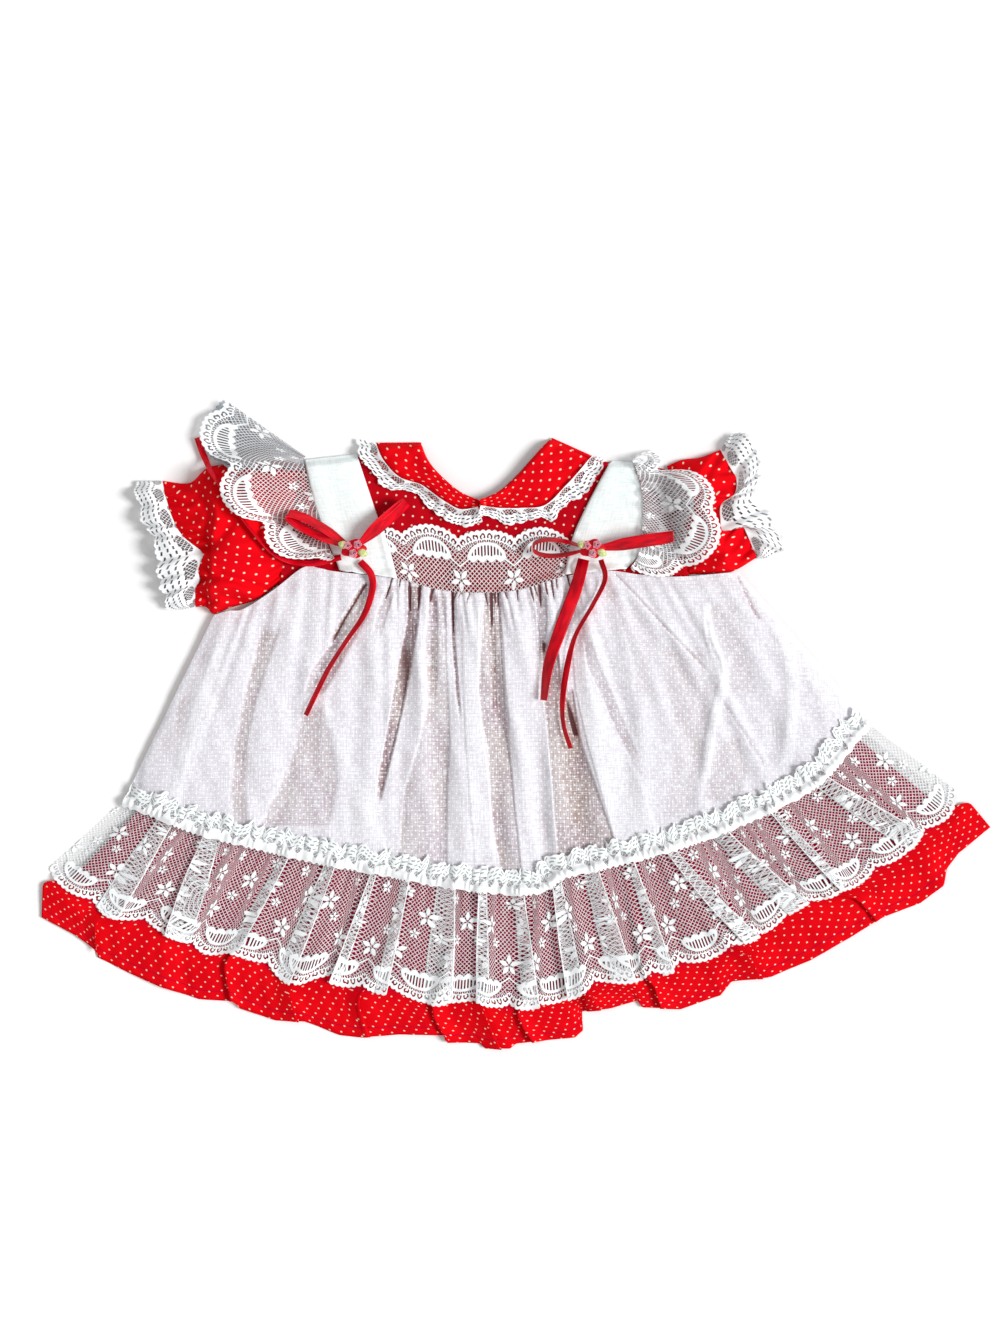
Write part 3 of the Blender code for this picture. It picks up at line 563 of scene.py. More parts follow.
class Pile:
    """Height of the cloth that is already laid down, on a grid of one millimetre cells."""

    def __init__(self) -> None:
        """Starts with the bare surface."""
        self.height = np.zeros(PILE_SIZE)

    def cells(self, places: Array) -> tuple[Array, Array]:
        """Cell numbers of places."""
        low = np.asarray(PILE_LOW)
        index = np.rint(places[..., :2] - low).astype(int)
        return (
            np.clip(index[..., 0], 0, PILE_SIZE[0] - 1),
            np.clip(index[..., 1], 0, PILE_SIZE[1] - 1),
        )

    def add(self, points: Array) -> None:
        """Raises the pile by a surface whose points, and those halfway between them, are in millimetres."""
        rows = points
        halfway = (rows[1:] + rows[:-1]) / 2
        for part in (rows, halfway, (rows[:, 1:] + rows[:, :-1]) / 2, (halfway[:, 1:] + halfway[:, :-1]) / 2):
            flat = part.reshape(-1, 3)
            across, up = self.cells(flat)
            np.maximum.at(self.height, (across, up), flat[:, 2])

    def rest(self, places: Array, reach: int, soften: int, gap: float) -> Array:
        """Height a softly laid piece takes: the averaged pile, and never under the bare pile and a gap."""
        return np.maximum(self.at(places, reach, soften) + gap, self.at(places, 1, 0) + 0.4)

    def at(self, places: Array, reach: int = 2, soften: int = 2) -> Array:
        """Height of the pile at those places.

        Args:
            places: Places seen from above, in millimetres.
            reach: How far round each place the highest point counts, in millimetres.
            soften: How far the result is averaged, in millimetres.

        Returns:
            Heights in millimetres, in the shape of the places.
        """
        field_now = self.height
        for _ in range(reach):
            field_now = np.maximum.reduce([
                field_now, np.roll(field_now, 1, 0), np.roll(field_now, -1, 0),
                np.roll(field_now, 1, 1), np.roll(field_now, -1, 1),
            ])
        for _ in range(soften):
            field_now = (
                2 * field_now + np.roll(field_now, 1, 0) + np.roll(field_now, -1, 0)
                + np.roll(field_now, 1, 1) + np.roll(field_now, -1, 1)
            ) / 6
        low = np.asarray(PILE_LOW)
        spot = np.clip(places[..., :2] - low, 0, np.asarray(PILE_SIZE) - 1.001)
        corner = np.floor(spot).astype(int)
        rest = spot - corner
        x, y = corner[..., 0], corner[..., 1]
        return (
            field_now[x, y] * (1 - rest[..., 0]) * (1 - rest[..., 1])
            + field_now[x + 1, y] * rest[..., 0] * (1 - rest[..., 1])
            + field_now[x, y + 1] * (1 - rest[..., 0]) * rest[..., 1]
            + field_now[x + 1, y + 1] * rest[..., 0] * rest[..., 1]
        )


def catmull(rows: Array, where: Array) -> Array:
    """Rows between given rows by Catmull and Rom's cubic.

    Args:
        rows: The given rows, one along the first axis for each whole number of where.
        where: Row numbers, whole or not.

    Returns:
        A row for each number.
    """
    before = np.concatenate([2 * rows[:1] - rows[1:2], rows, 2 * rows[-1:] - rows[-2:-1]])
    start = np.clip(np.floor(where).astype(int), 0, len(rows) - 2)
    step = (where - start).reshape((-1,) + (1,) * (rows.ndim - 1))
    a, b, c, d = (before[start + offset] for offset in range(4))
    return 0.5 * (
        2 * b + (c - a) * step + (2 * a - 5 * b + 4 * c - d) * step**2 + (3 * b - a - 3 * c + d) * step**3
    )


def turned(places: Array, pleats: Sequence[Pleat], length: float, depth: Array) -> tuple[Array, Array]:
    """How pleats move cloth along its row and lift it.

    With x the distance from the fold in turns, the cloth moves by minus sine of pi x times a raised
    cosine, far enough to run back over itself, and the same wave lifts one side and lowers the other.

    Args:
        places: Shares along the row.
        pleats: The folds.
        length: Length of the row in millimetres.
        depth: 0 at the seam to 1 at the free edge.

    Returns:
        Moves as shares and lifts in millimetres.
    """
    move = np.zeros(np.broadcast(places, depth).shape)
    lift = np.zeros_like(move)
    grown = 0.85 + 0.15 * smooth(depth, 0.0, 0.6)
    for pleat in pleats:
        middle = pleat.seam + (pleat.edge - pleat.seam) * depth
        away = (places - middle) * length / pleat.turn
        wave = -np.sin(math.pi * np.clip(away, -1, 1)) * bump(away)
        reach = (pleat.overlap * grown + 0.667 * pleat.turn * grown) / 1.3
        move += wave * reach / length
        lift += pleat.height * (0.25 + 0.75 * grown) * (0.6 * bump(away) + 0.75 * pleat.way * wave)
    return move, lift


def creased(places: Array, creases: Sequence[Crease]) -> Array:
    """Height of creases: each a bell of its half width across a bent line, fading at both ends."""
    height = np.zeros(places.shape[:-1])
    for crease in creases:
        ends = np.array([crease.start, crease.middle, crease.end], dtype=float)
        best = np.full(height.shape, 1e9)
        where = np.zeros_like(height)
        for index in range(2):
            step = ends[index + 1] - ends[index]
            share = np.clip(((places - ends[index]) @ step) / (step @ step), 0.0, 1.0)
            gap = np.linalg.norm(places - (ends[index] + share[..., None] * step), axis=-1)
            nearer = gap < best
            best = np.where(nearer, gap, best)
            where = np.where(nearer, (index + share) / 2, where)
        fade = smooth(where, -0.12, 0.18) * (1 - smooth(where, 0.84, 1.1))
        height += crease.height * fade * np.exp(-((best / crease.width) ** 2))
    return height


def planed(places: Array, planes: Sequence[Plane]) -> Array:
    """Shade of planes: a soft step in at the left edge and out at the right, both read off at each place's height."""
    total = np.zeros(places.shape[:-1])
    x, y = places[..., 0], places[..., 1]
    for plane in planes:
        left, right = (np.array(edge[::-1], dtype=float) for edge in (plane.left, plane.right))
        inside = smooth(x - np.interp(y, left[:, 1], left[:, 0]), -plane.soft[0] / 2, plane.soft[0] / 2)
        outside = smooth(x - np.interp(y, right[:, 1], right[:, 0]), -plane.soft[1] / 2, plane.soft[1] / 2)
        fade = smooth(left[-1, 1] - y, 0, plane.fade[0]) * smooth(y - left[0, 1], 0, plane.fade[1])
        total += plane.shade * inside * (1 - outside) * fade
    return total


def slitted(places: Array, seam: Array, slits: Sequence[Slit]) -> Array:
    """Depth of slits: a bell across a line that drifts aside and narrows to nothing down its length."""
    total = np.zeros(places.shape[:-1])
    down = seam[..., 1] - places[..., 1]
    for slit in slits:
        share = down / slit.length
        across = (places[..., 0] - slit.x - slit.drift * share) / (slit.width * (1.1 - 0.6 * np.clip(share, 0, 1)))
        total = np.maximum(total, bump(across) * (1 - smooth(share, 0.7, 1.0)))
    return total


class Socket:
    """A shader value that takes part in Python sums."""

    def __init__(self, tree: bpy.types.NodeTree, plug: bpy.types.NodeSocket) -> None:
        """Wraps an output of a node."""
        self.tree = tree
        self.plug = plug

    def math(self, operation: str, *others: "Socket | float", clamp: bool = False) -> "Socket":
        """Adds a Math node on this value and others."""
        made = self.tree.nodes.new("ShaderNodeMath")
        made.operation = operation
        made.use_clamp = clamp
        for index, value in enumerate((self, *others)):
            if isinstance(value, Socket):
                self.tree.links.new(value.plug, made.inputs[index])
            else:
                made.inputs[index].default_value = value
        return Socket(self.tree, made.outputs[0])

    def __add__(self, other: "Socket | float") -> "Socket":
        """The sum."""
        return self.math("ADD", other)

    __radd__ = __add__

    def __mul__(self, other: "Socket | float") -> "Socket":
        """The product."""
        return self.math("MULTIPLY", other)

    __rmul__ = __mul__

    def __sub__(self, other: "Socket | float") -> "Socket":
        """The difference."""
        return self.math("SUBTRACT", other)

    def __rsub__(self, other: float) -> "Socket":
        """The difference from a number."""
        return (self * -1.0) + other

    def __truediv__(self, other: "Socket | float") -> "Socket":
        """The quotient."""
        return self.math("DIVIDE", other)

    def __abs__(self) -> "Socket":
        """The size without its sign."""
        return self.math("ABSOLUTE")

    def part(self) -> "Socket":
        """What is left over a whole number."""
        return self.math("FRACT")

    def sine(self) -> "Socket":
        """The sine."""
        return self.math("SINE")

    def root(self) -> "Socket":
        """The square root."""
        return self.math("SQRT")

    def least(self, other: "Socket | float") -> "Socket":
        """The lesser of two."""
        return self.math("MINIMUM", other)

    def most(self, other: "Socket | float") -> "Socket":
        """The greater of two."""
        return self.math("MAXIMUM", other)

    def under(self, edge: "Socket | float", soft: float) -> "Socket":
        """1 where this is below an edge and 0 above, over a soft width."""
        return ((edge - self) / soft + 0.5).math("MULTIPLY", 1.0, clamp=True)

    def over(self, edge: "Socket | float", soft: float) -> "Socket":
        """1 where this is above an edge and 0 below, over a soft width."""
        return ((self - edge) / soft + 0.5).math("MULTIPLY", 1.0, clamp=True)


class Shading:
    """One material's nodes, with the surface's flat coordinates in millimetres."""

    def __init__(self, name: str) -> None:
        """Starts a material with its Principled shader."""
        self.material = bpy.data.materials.new(name)
        self.material.use_nodes = True
        self.tree = self.material.node_tree
        self.shader = self.tree.nodes["Principled BSDF"]

    def node(
        self, kind: str, settings: dict[str, object] | None = None, values: dict[str, object] | None = None
    ) -> bpy.types.Node:
        """Adds a node.

        Args:
            kind: Type of the node.
            settings: Its own settings, made first.
            values: Values or links of its sockets, by name or number.

        Returns:
            The node.
        """
        made = self.tree.nodes.new(kind)
        for key, value in (settings or {}).items():
            setattr(made, key, value)
        for key, value in (values or {}).items():
            entry = made.inputs[key]
            if isinstance(value, Socket):
                self.tree.links.new(value.plug, entry)
            else:
                entry.default_value = value
        return made

    def flat(self) -> tuple[Socket, Socket]:
        """Distance along the cloth and in from its free edge, in millimetres."""
        uv = self.node("ShaderNodeUVMap", {"uv_map": "cloth"})
        split = self.node("ShaderNodeSeparateXYZ", values={0: Socket(self.tree, uv.outputs[0])})
        return Socket(self.tree, split.outputs[0]) * 1000.0, Socket(self.tree, split.outputs[1]) * 1000.0

    def held(self, name: str) -> Socket:
        """A number that the mesh holds at each point."""
        made = self.node("ShaderNodeAttribute", {"attribute_name": name})
        return Socket(self.tree, made.outputs["Fac"])

    def noise(self, scale: float, detail: float = 2.0, stretch: tuple[float, float] = (1.0, 1.0)) -> Socket:
        """Cloudy noise over the flat cloth, from 0 to 1, at so many waves a millimetre."""
        along, inward = self.flat()
        place = self.node("ShaderNodeCombineXYZ", values={0: along * stretch[0], 1: inward * stretch[1]})
        made = self.node(
            "ShaderNodeTexNoise",
            values={"Vector": Socket(self.tree, place.outputs[0]), "Scale": scale, "Detail": detail},
        )
        return Socket(self.tree, made.outputs["Fac"])

    def mix(self, share: Socket, first: object, second: object) -> Socket:
        """A colour between two."""
        made = self.tree.nodes.new("ShaderNodeMix")
        made.data_type = "RGBA"
        self.tree.links.new(share.plug, made.inputs["Factor"])
        for key, value in (("A", first), ("B", second)):
            entry = [plug for plug in made.inputs if plug.name == key and plug.type == "RGBA"][0]
            if isinstance(value, Socket):
                self.tree.links.new(value.plug, entry)
            else:
                entry.default_value = (*value, 1.0)
        return Socket(self.tree, [plug for plug in made.outputs if plug.type == "RGBA"][0])

    def put(self, name: str, value: "Socket | float | tuple") -> None:
        """Sets or links one of the shader's sockets."""
        entry = self.shader.inputs[name]
        if isinstance(value, Socket):
            self.tree.links.new(value.plug, entry)
        elif isinstance(value, tuple):
            entry.default_value = (*value, 1.0)
        else:
            entry.default_value = value

    def bump(self, height: Socket, depth: float, strength: float = 1.0) -> None:
        """Roughens the surface by a height in millimetres."""
        made = self.node("ShaderNodeBump", values={"Height": height, "Distance": depth * MM, "Strength": strength})
        self.tree.links.new(made.outputs[0], self.shader.inputs["Normal"])


@dataclass(frozen=True)
class PinDotCotton:
    """Red woven cotton with a square lattice of small cream dots."""

    name: str = "red_pin_dot_cotton"
    slot: str = "red_cotton"
    red: tuple[float, float, float] = (0.80, 0.002, 0.006)
    deep: tuple[float, float, float] = (0.64, 0.0, 0.006)
    cream: tuple[float, float, float] = (0.88, 0.64, 0.50)
    # Painted shade of the red under the hem lace
    painted_shade_red: tuple[float, float, float] = (0.34, 0.0, 0.04)
    pitch: float = 4.7
    dot: float = 0.50
    turn: float = 0.6
    stitch: float = -9.0

    def material(self) -> bpy.types.Material:
        """Dots where the distance to the nearest lattice point is under a radius; weave as two fine waves."""
        shade = Shading(self.name)
        along, inward = shade.flat()
        cosine, sine = math.cos(self.turn), math.sin(self.turn)
        across = along * cosine - inward * sine
        down = along * sine + inward * cosine
        x = ((across / self.pitch).part() - 0.5) * self.pitch
        y = ((down / self.pitch).part() - 0.5) * self.pitch
        dots = (x * x + y * y).root().under(self.dot, 0.14)
        cloud = shade.noise(0.05, 3.0)
        ground = shade.mix(cloud.over(0.55, 0.5), self.red, self.deep)
        # Painted shade: a darker red where lift is low, which the skirt sets under the hem lace; a line at the stitch
        # depth in from the hem takes the same colour.
        ground = shade.mix(shade.held("lift").under(0.25, 0.5), ground, self.painted_shade_red)
        ground = shade.mix(abs(inward - self.stitch).under(0.35, 0.3) * 0.6, ground, self.painted_shade_red)
        shade.put("Base Color", shade.mix(dots, ground, self.cream))
        shade.put("Roughness", 0.85)
        shade.put("Specular IOR Level", 0.05)
        weave = (across * (TAU / 0.5)).sine() * (down * (TAU / 0.5)).sine()
        shade.bump(weave * 0.5 + dots * 0.8 + cloud * 2.0, 0.10, 0.6)
        return shade.material


@dataclass(frozen=True)
class SheerBatiste:
    """Half-sheer white cloth with slubs both ways and tiny raised dots, with painted shade and highlight from lift."""

    name: str = "sheer_white_batiste"
    slot: str = "sheer_batiste"
    white: tuple[float, float, float] = (0.76, 0.74, 0.80)
    # Painted shade, two tones mixed by noise
    shaded: tuple[float, float, float] = (0.34, 0.235, 0.26)
    tan_shade: tuple[float, float, float] = (0.42, 0.34, 0.30)
    # White of the slubs and of the painted highlight
    bright: tuple[float, float, float] = (0.90, 0.92, 0.96)
    # Painted shade in the slits
    slit: tuple[float, float, float] = (0.13, 0.065, 0.07)
    pitch: float = 2.9
    dot: float = 0.46
    cover: float = 0.90

    def material(self) -> bpy.types.Material:
        """Slubs are noise drawn out along either thread; dots lie on a square lattice turned by an eighth."""
        shade = Shading(self.name)
        along, inward = shade.flat()
        across = (along + inward) * 0.7071
        down = (along - inward) * 0.7071
        x = ((across / self.pitch).part() - 0.5) * self.pitch
        y = ((down / self.pitch).part() - 0.5) * self.pitch
        dots = (x * x + y * y).root().under(self.dot, 0.2)
        warp = shade.noise(1.0, 1.0, (1.7, 0.14))
        weft = shade.noise(1.0, 1.0, (0.14, 1.7))
        slubs = (warp + weft - 1.0) * 2.2
        # Painted shade: where lift is low the white turns to a noise mix of mauve and tan, and a little more red shows
        # through.
        lift = shade.held("lift")
        low = lift.under(0.30, 0.36)
        dark = shade.mix(shade.noise(0.03, 1.0).over(0.5, 0.2), self.shaded, self.tan_shade)
        ground = shade.mix(low, self.white, dark)
        # Painted highlight: where lift is high the white turns brighter, on top of the slubs.
        high = lift.over(0.62, 0.3) * 0.7
        ground = shade.mix((slubs * 0.8 + 0.2 + high).math("MULTIPLY", 1.0, clamp=True), ground, self.bright)
        ground = shade.mix(dots, ground, (0.93, 0.92, 0.94))
        # Painted shade in the slits: where lift is lowest the colour turns near-black brown.
        shade.put("Base Color", shade.mix(lift.under(0.05, 0.08), ground, self.slit))
        shade.put("Alpha", (slubs * 0.10 + self.cover - low * 0.07 + dots * 0.1).math("MULTIPLY", 1.0, clamp=True))
        shade.put("Roughness", 0.85)
        shade.put("Specular IOR Level", 0.2)
        shade.bump(slubs * 0.6 + dots, 0.10, 0.6)
        return shade.material


@dataclass(frozen=True)
class StrapCotton:
    """Closely woven white cotton of the straps."""

    name: str = "white_strap_cotton"
    slot: str = "strap_cloth"
    white: tuple[float, float, float] = (0.78, 0.86, 0.845)

    def material(self) -> bpy.types.Material:
        """Two noises drawn out along the threads tint and roughen the white."""
        shade = Shading(self.name)
        warp = shade.noise(1.0, 1.0, (1.6, 0.15))
        weft = shade.noise(1.0, 1.0, (0.15, 1.6))
        slubs = (warp + weft - 1.0) * 2.0
        share = (slubs + 0.5).math("MULTIPLY", 1.0, clamp=True)
        shade.put("Base Color", shade.mix(share, self.white, (0.93, 0.98, 0.98)))
        shade.put("Roughness", 0.8)
        shade.put("Specular IOR Level", 0.25)
        shade.bump(slubs, 0.08, 0.5)
        return shade.material


@dataclass(frozen=True)
class ScallopLace:
    """Wide net lace with scallops, ladder-filled half moons and five-petalled flowers."""

    name: str = "white_scallop_lace"
    slot: str = "white_lace"
    white: tuple[float, float, float] = (0.90, 0.92, 0.93)
    # Painted shade kept in the holes, and how opaque it is there
    hole_shade: tuple[float, float, float] = (0.05, 0.02, 0.035)
    hole: float = 0.09
    thin: float = 0.66
    repeat: float = 28.0
    radius: float = 24.0
    net_pitch: float = 2.4
    thread: float = 0.12
    rows: tuple[tuple[float, float, float], ...] = (
        (25.0, 0.5, 1.0), (45.0, 0.0, 1.0), (35.0, 0.22, 0.55), (57.0, 0.45, 0.6), (36.0, 0.80, 0.5),
    )

    def flower(self, along: Socket, inward: Socket, row: float, shift: float, size: float) -> Socket:
        """Five slim petals round a gap: each a sine bulge about its own ray, as wide as it is far out."""
        x = ((along / self.repeat + shift).part() - 0.5) * self.repeat
        y = inward - row
        far = (x * x + y * y).root() / size
        petal = (y.math("ARCTAN2", x) * (5 / TAU) + 0.25).part() - 0.5
        aside = abs((petal * (TAU / 5)).sine()) * far
        bulge = ((far - 0.7) * (math.pi / 5.2)).most(0.0).least(math.pi).sine() * 1.25
        return aside.under(bulge, 0.3) * far.under(5.9, 0.2)

    def cover(self, shade: Shading) -> tuple[Socket, Socket, Socket]:
        """Where thread is dense, where it is a thin net, and where there is lace at all.

        The free edge is an arc in each repeat with a small picot wave. Inwards from it come a solid
        rim, a row of horseshoe holes and a row of bead holes, both dark with painted shade, the half moon
        with its ladder slits and lumpy crest, the chevron over the cusp, and flowers on a diamond net.
        """
        along, inward = shade.flat()
        x = ((along / self.repeat).part() - 0.5) * self.repeat
        from_centre = self.radius - inward
        arc = (x * x + from_centre * from_centre).root()
        around = x.math("ARCTAN2", from_centre) * self.radius
        picot = abs((around * (math.pi / 3.0)).sine()) * 0.75
        depth = (self.radius - 0.75) - arc + picot
        lower = inward.under(self.radius, 0.1)
        edge = depth.over(0.0, 0.3) * lower + (1 - lower)

        one_way = ((along + inward) / self.net_pitch).part() - 0.5
        other_way = ((along - inward) / self.net_pitch).part() - 0.5
        net = abs(one_way).most(abs(other_way)).over(0.5 - self.thread, 0.08)

        border = depth.under(5.9, 0.2) * lower
        shoe_x = ((around / 4.2).part() - 0.5) * 4.2
        shoe_y = depth - 3.2
        shoe = abs((shoe_x * shoe_x + shoe_y * shoe_y).root() - 1.2).under(0.40, 0.2) * shoe_y.under(0.8, 0.2)
        bead_x = ((around / 1.5).part() - 0.5) * 1.5
        bead_y = depth - 5.3
        bead = (bead_x * bead_x + bead_y * bead_y).root().under(0.55, 0.25)

        moon_y = (inward - 15.4) / 9.4
        moon_x = x / (self.repeat * 0.36)
        moon = (moon_x * moon_x + moon_y * moon_y).root()
        lump = abs((x * (math.pi / 4.8)).sine()) * 1.7
        in_moon = moon.under(1.0, 0.04) * inward.under(lump + 14.4, 0.3)
        slot = ((x / 1.65).part() - 0.5) * 1.65
        slits = abs(slot).under(0.40, 0.2) * moon.under(0.82, 0.05) * inward.under(lump * 0.5 + 12.2, 0.3)

        cusp = abs(abs(x) - self.repeat / 2)
        chevron = abs(inward - (18.5 - cusp * 0.75)).under(0.42, 0.2) * cusp.under(6.5, 0.3)
        sprig = chevron.most(in_moon)
        for row, shift, size in self.rows:
            sprig = sprig.most(self.flower(along, inward, row, shift, size))
        holes = (1 - shoe.most(bead) * border) * (1 - slits)
        fold = shade.held("lift").over(0.85, 0.2)
        return (sprig.most(border) * holes).most(fold), net * holes, edge

    def material(self) -> bpy.types.Material:
        """White thread cut out by the pattern; its holes between the threads are painted with a little dark shade,
        partly opaque.
        """
        shade = Shading(self.name)
        dense, net, edge = self.cover(shade)
        # Painted shade: the holes take the dark colour and stay a little opaque.
        shade.put("Base Color", shade.mix(dense.most(net), self.hole_shade, self.white))
        shade.put("Alpha", (dense.most(net * self.thin) * (1 - self.hole) + self.hole) * edge)
        shade.put("Roughness", 0.8)
        shade.put("Specular IOR Level", 0.2)
        return shade.material


@dataclass(frozen=True)
class EdgingLace:
    """Narrow lace of the collar and sleeves: rows of dashes and net windows next to the seam."""

    name: str = "white_edging_lace"
    slot: str = "white_lace"
    white: tuple[float, float, float] = (0.90, 0.92, 0.93)
    # Painted shade in the dashes and net windows
    hole_shade: tuple[float, float, float] = (0.06, 0.04, 0.05)
    hole: float = 0.75
    depth: float = 10.0
    window: float = 13.0
    rows: int = 3

    def material(self) -> bpy.types.Material:
        """Dashes lie on wavy rows at set depths; a net window is an ellipse by the seam in each repeat."""
        shade = Shading(self.name)
        along, inward = shade.flat()
        picot = abs((along * (math.pi / 2.8)).sine()) * 0.7
        edge = (inward + picot).over(0.7, 0.25)
        wave = (along * (TAU / self.window)).sine() * 0.5
        holes = None
        for row in range(self.rows):
            place = 1.9 + (self.depth * 0.66 - 1.9) * row / max(self.rows - 1, 1)
            dash_x = ((along / 2.6 + 0.37 * row).part() - 0.5) * 2.6
            dash_y = inward + wave - place
            dash = abs(dash_x).under(0.85, 0.2) * abs(dash_y + dash_x * 0.3).under(0.38, 0.2)
            holes = dash if holes is None else holes.most(dash)
        x = ((along / self.window).part() - 0.5) * self.window
        y = inward - self.depth * 0.80
        inside = ((x / (self.window * 0.36)).math("POWER", 2.0) + (y / (self.depth * 0.15)).math("POWER", 2.0)).under(1.0, 0.2)
        one_way = ((along + inward) / 1.9).part() - 0.5
        other_way = ((along - inward) / 1.9).part() - 0.5
        net = abs(one_way).most(abs(other_way)).under(0.41, 0.08)
        window = inside * net
        # Painted shade: the dashes and net windows take the dark colour and stay partly opaque.
        shade.put("Base Color", shade.mix(holes.most(window), self.white, self.hole_shade))
        shade.put("Alpha", (1 - holes * (1 - self.hole)) * (1 - window * 0.7) * edge)
        shade.put("Roughness", 0.8)
        shade.put("Specular IOR Level", 0.2)
        return shade.material


@dataclass(frozen=True)
class Satin:
    """Glossy satin ribbon."""

    name: str = "red_satin"
    slot: str = "red_satin"
    colour: tuple[float, float, float] = (0.74, 0.0, 0.010)
    deep: tuple[float, float, float] = (0.42, 0.0, 0.010)
    roughness: float = 0.42

    def material(self) -> bpy.types.Material:
        """Fine ribs across the ribbon stretch the gloss."""
        shade = Shading(self.name)
        along, _ = shade.flat()
        ribs = (along * (TAU / 0.35)).sine()
        # Painted sheen: noise streaks along the ribbon, between the lighter and the deep red.
        shade.put("Base Color", shade.mix(shade.noise(0.10, 1.0, (1.0, 3.5)).over(0.52, 0.3), self.colour, self.deep))
        shade.put("Roughness", self.roughness)
        shade.put("Specular IOR Level", 0.16)
        shade.bump(ribs, 0.02, 0.4)
        return shade.material


@dataclass(frozen=True)
class Plain:
    """A smooth small piece with a little mottling."""

    name: str
    slot: str
    colour: tuple[float, float, float]
    second: tuple[float, float, float]
    roughness: float = 0.5

    def material(self) -> bpy.types.Material:
        """Noise mixes the two colours."""
        shade = Shading(self.name)
        coordinates = shade.node("ShaderNodeTexCoord")
        made = shade.node(
            "ShaderNodeTexNoise",
            values={"Vector": Socket(shade.tree, coordinates.outputs["Object"]), "Scale": 900.0, "Detail": 2.0},
        )
        cloud = Socket(shade.tree, made.outputs["Fac"])
        shade.put("Base Color", shade.mix(cloud.over(0.5, 0.25), self.colour, self.second))
        shade.put("Roughness", self.roughness)
        shade.bump(cloud, 0.10, 0.3)
        return shade.material


class Tailor:
    """Makes pieces of cloth and keeps the pile they lie on."""

    def __init__(self) -> None:
        """Starts with the bare surface and no materials."""
        self.pile = Pile()
        self.made: dict[str, bpy.types.Material] = {}
        self.areas: dict[str, float] = {}

    def finish(self, finish: object) -> bpy.types.Material:
        """The finish's material, made once."""
        if finish.name not in self.made:
            self.made[finish.name] = finish.material()
        return self.made[finish.name]

    def piece(
        self, name: str, points: Array, flat: Array, finish: object, nodes: Sequence[str], wall: float = 0.0,
        closed: bool = False, lift: Array | None = None, laid: bool = True,
    ) -> bpy.types.Object:
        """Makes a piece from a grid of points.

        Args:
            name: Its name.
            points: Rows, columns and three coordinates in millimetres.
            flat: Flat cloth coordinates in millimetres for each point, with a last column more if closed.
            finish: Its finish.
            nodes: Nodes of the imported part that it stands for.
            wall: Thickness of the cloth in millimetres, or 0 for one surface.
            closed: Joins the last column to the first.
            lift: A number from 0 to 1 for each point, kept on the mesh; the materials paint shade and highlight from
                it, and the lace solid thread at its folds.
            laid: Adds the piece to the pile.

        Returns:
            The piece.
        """
        rows, columns = points.shape[:2]
        index = np.arange(rows * columns).reshape(rows, columns)
        ends = np.concatenate([index, index[:, :1]], axis=1) if closed else index
        cells = np.arange(flat.shape[0] * flat.shape[1]).reshape(flat.shape[:2])
        quads, places = (
            np.stack([net[:-1, :-1], net[:-1, 1:], net[1:, 1:], net[1:, :-1]], axis=-1).reshape(-1, 4)
            for net in (ends, cells)
        )
        sides = points.reshape(-1, 3)[quads]
        facing = np.cross(sides[:, 2] - sides[:, 0], sides[:, 3] - sides[:, 1])
        outward = (facing * (sides.mean(axis=1) - points.reshape(-1, 3).mean(axis=0))).sum()
        if (outward if closed else facing[:, 2].sum()) < 0:
            quads, places = quads[:, ::-1], places[:, ::-1]
        self.areas[name] = float(np.linalg.norm(facing, axis=1).sum() / 2) * MM * MM
        mesh = bpy.data.meshes.new(name)
        mesh.vertices.add(rows * columns)
        mesh.vertices.foreach_set("co", (points.reshape(-1, 3) * MM).ravel())
        mesh.loops.add(quads.size)
        mesh.loops.foreach_set("vertex_index", quads.ravel())
        mesh.polygons.add(len(quads))
        mesh.polygons.foreach_set("loop_start", np.arange(0, quads.size, 4))
        mesh.polygons.foreach_set("use_smooth", np.ones(len(quads), dtype=bool))
        layer = mesh.uv_layers.new(name="cloth")
        uv = flat.reshape(-1, 2)[places.ravel()] * MM
        layer.data.foreach_set("uv", uv.ravel())
        held = mesh.attributes.new("lift", "FLOAT", "POINT")
        held.data.foreach_set("value", (np.full(rows * columns, 0.5) if lift is None else lift.ravel()))
        mesh.update(calc_edges=True)
        mesh.validate()
        made = bpy.data.objects.new(name, mesh)
        bpy.context.scene.collection.objects.link(made)
        mesh.materials.append(self.finish(finish))
        if wall:
            thicken = made.modifiers.new("wall", "SOLIDIFY")
            thicken.thickness = wall * MM
            thicken.offset = -1.0
        if laid:
            self.pile.add(points)
        self.declare(made, nodes)
        log.info("%s: %d faces, %.5f square metres", name, len(quads), self.areas[name])
        return made

    def sheet(
        self, made: bpy.types.Object, flat: tuple[float, float], held: str, rests_on: Sequence[str] = (),
        shaped: bool = True,
    ) -> None:
        """Works out the area of a piece's cut from the laid cloth, and does nothing with it.

        Args:
            made: The piece.
            flat: Width and length of the cut in metres.
            held: How the cloth is held; not used.
            rests_on: What lies under it; not used.
            shaped: The cut isn't a rectangle, and its area is what the laid cloth measures.
        """
        area = None
        if shaped:
            whole = flat[0] * flat[1]
            area = min(max(self.areas[made.name], 0.31 * whole), whole)

    def declare(self, made: bpy.types.Object, nodes: Sequence[str]) -> None:
        """Attaches the piece to the body that it rides on and hides the nodes that it stands for."""
        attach(made, BODY)
        if nodes:
            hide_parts(*nodes)


def grid(rows: int, columns: int) -> tuple[Array, Array]:
    """Depths down a column and shares along a row, each from 0 to 1."""
    depth, share = np.meshgrid(np.linspace(0, 1, rows), np.linspace(0, 1, columns), indexing="ij")
    return depth, share


def flat_length(points: Array) -> Array:
    """Distance along each row of points."""
    steps = np.linalg.norm(np.diff(points, axis=1), axis=-1)
    return np.concatenate([np.zeros((len(points), 1)), np.cumsum(steps, axis=1)], axis=1)


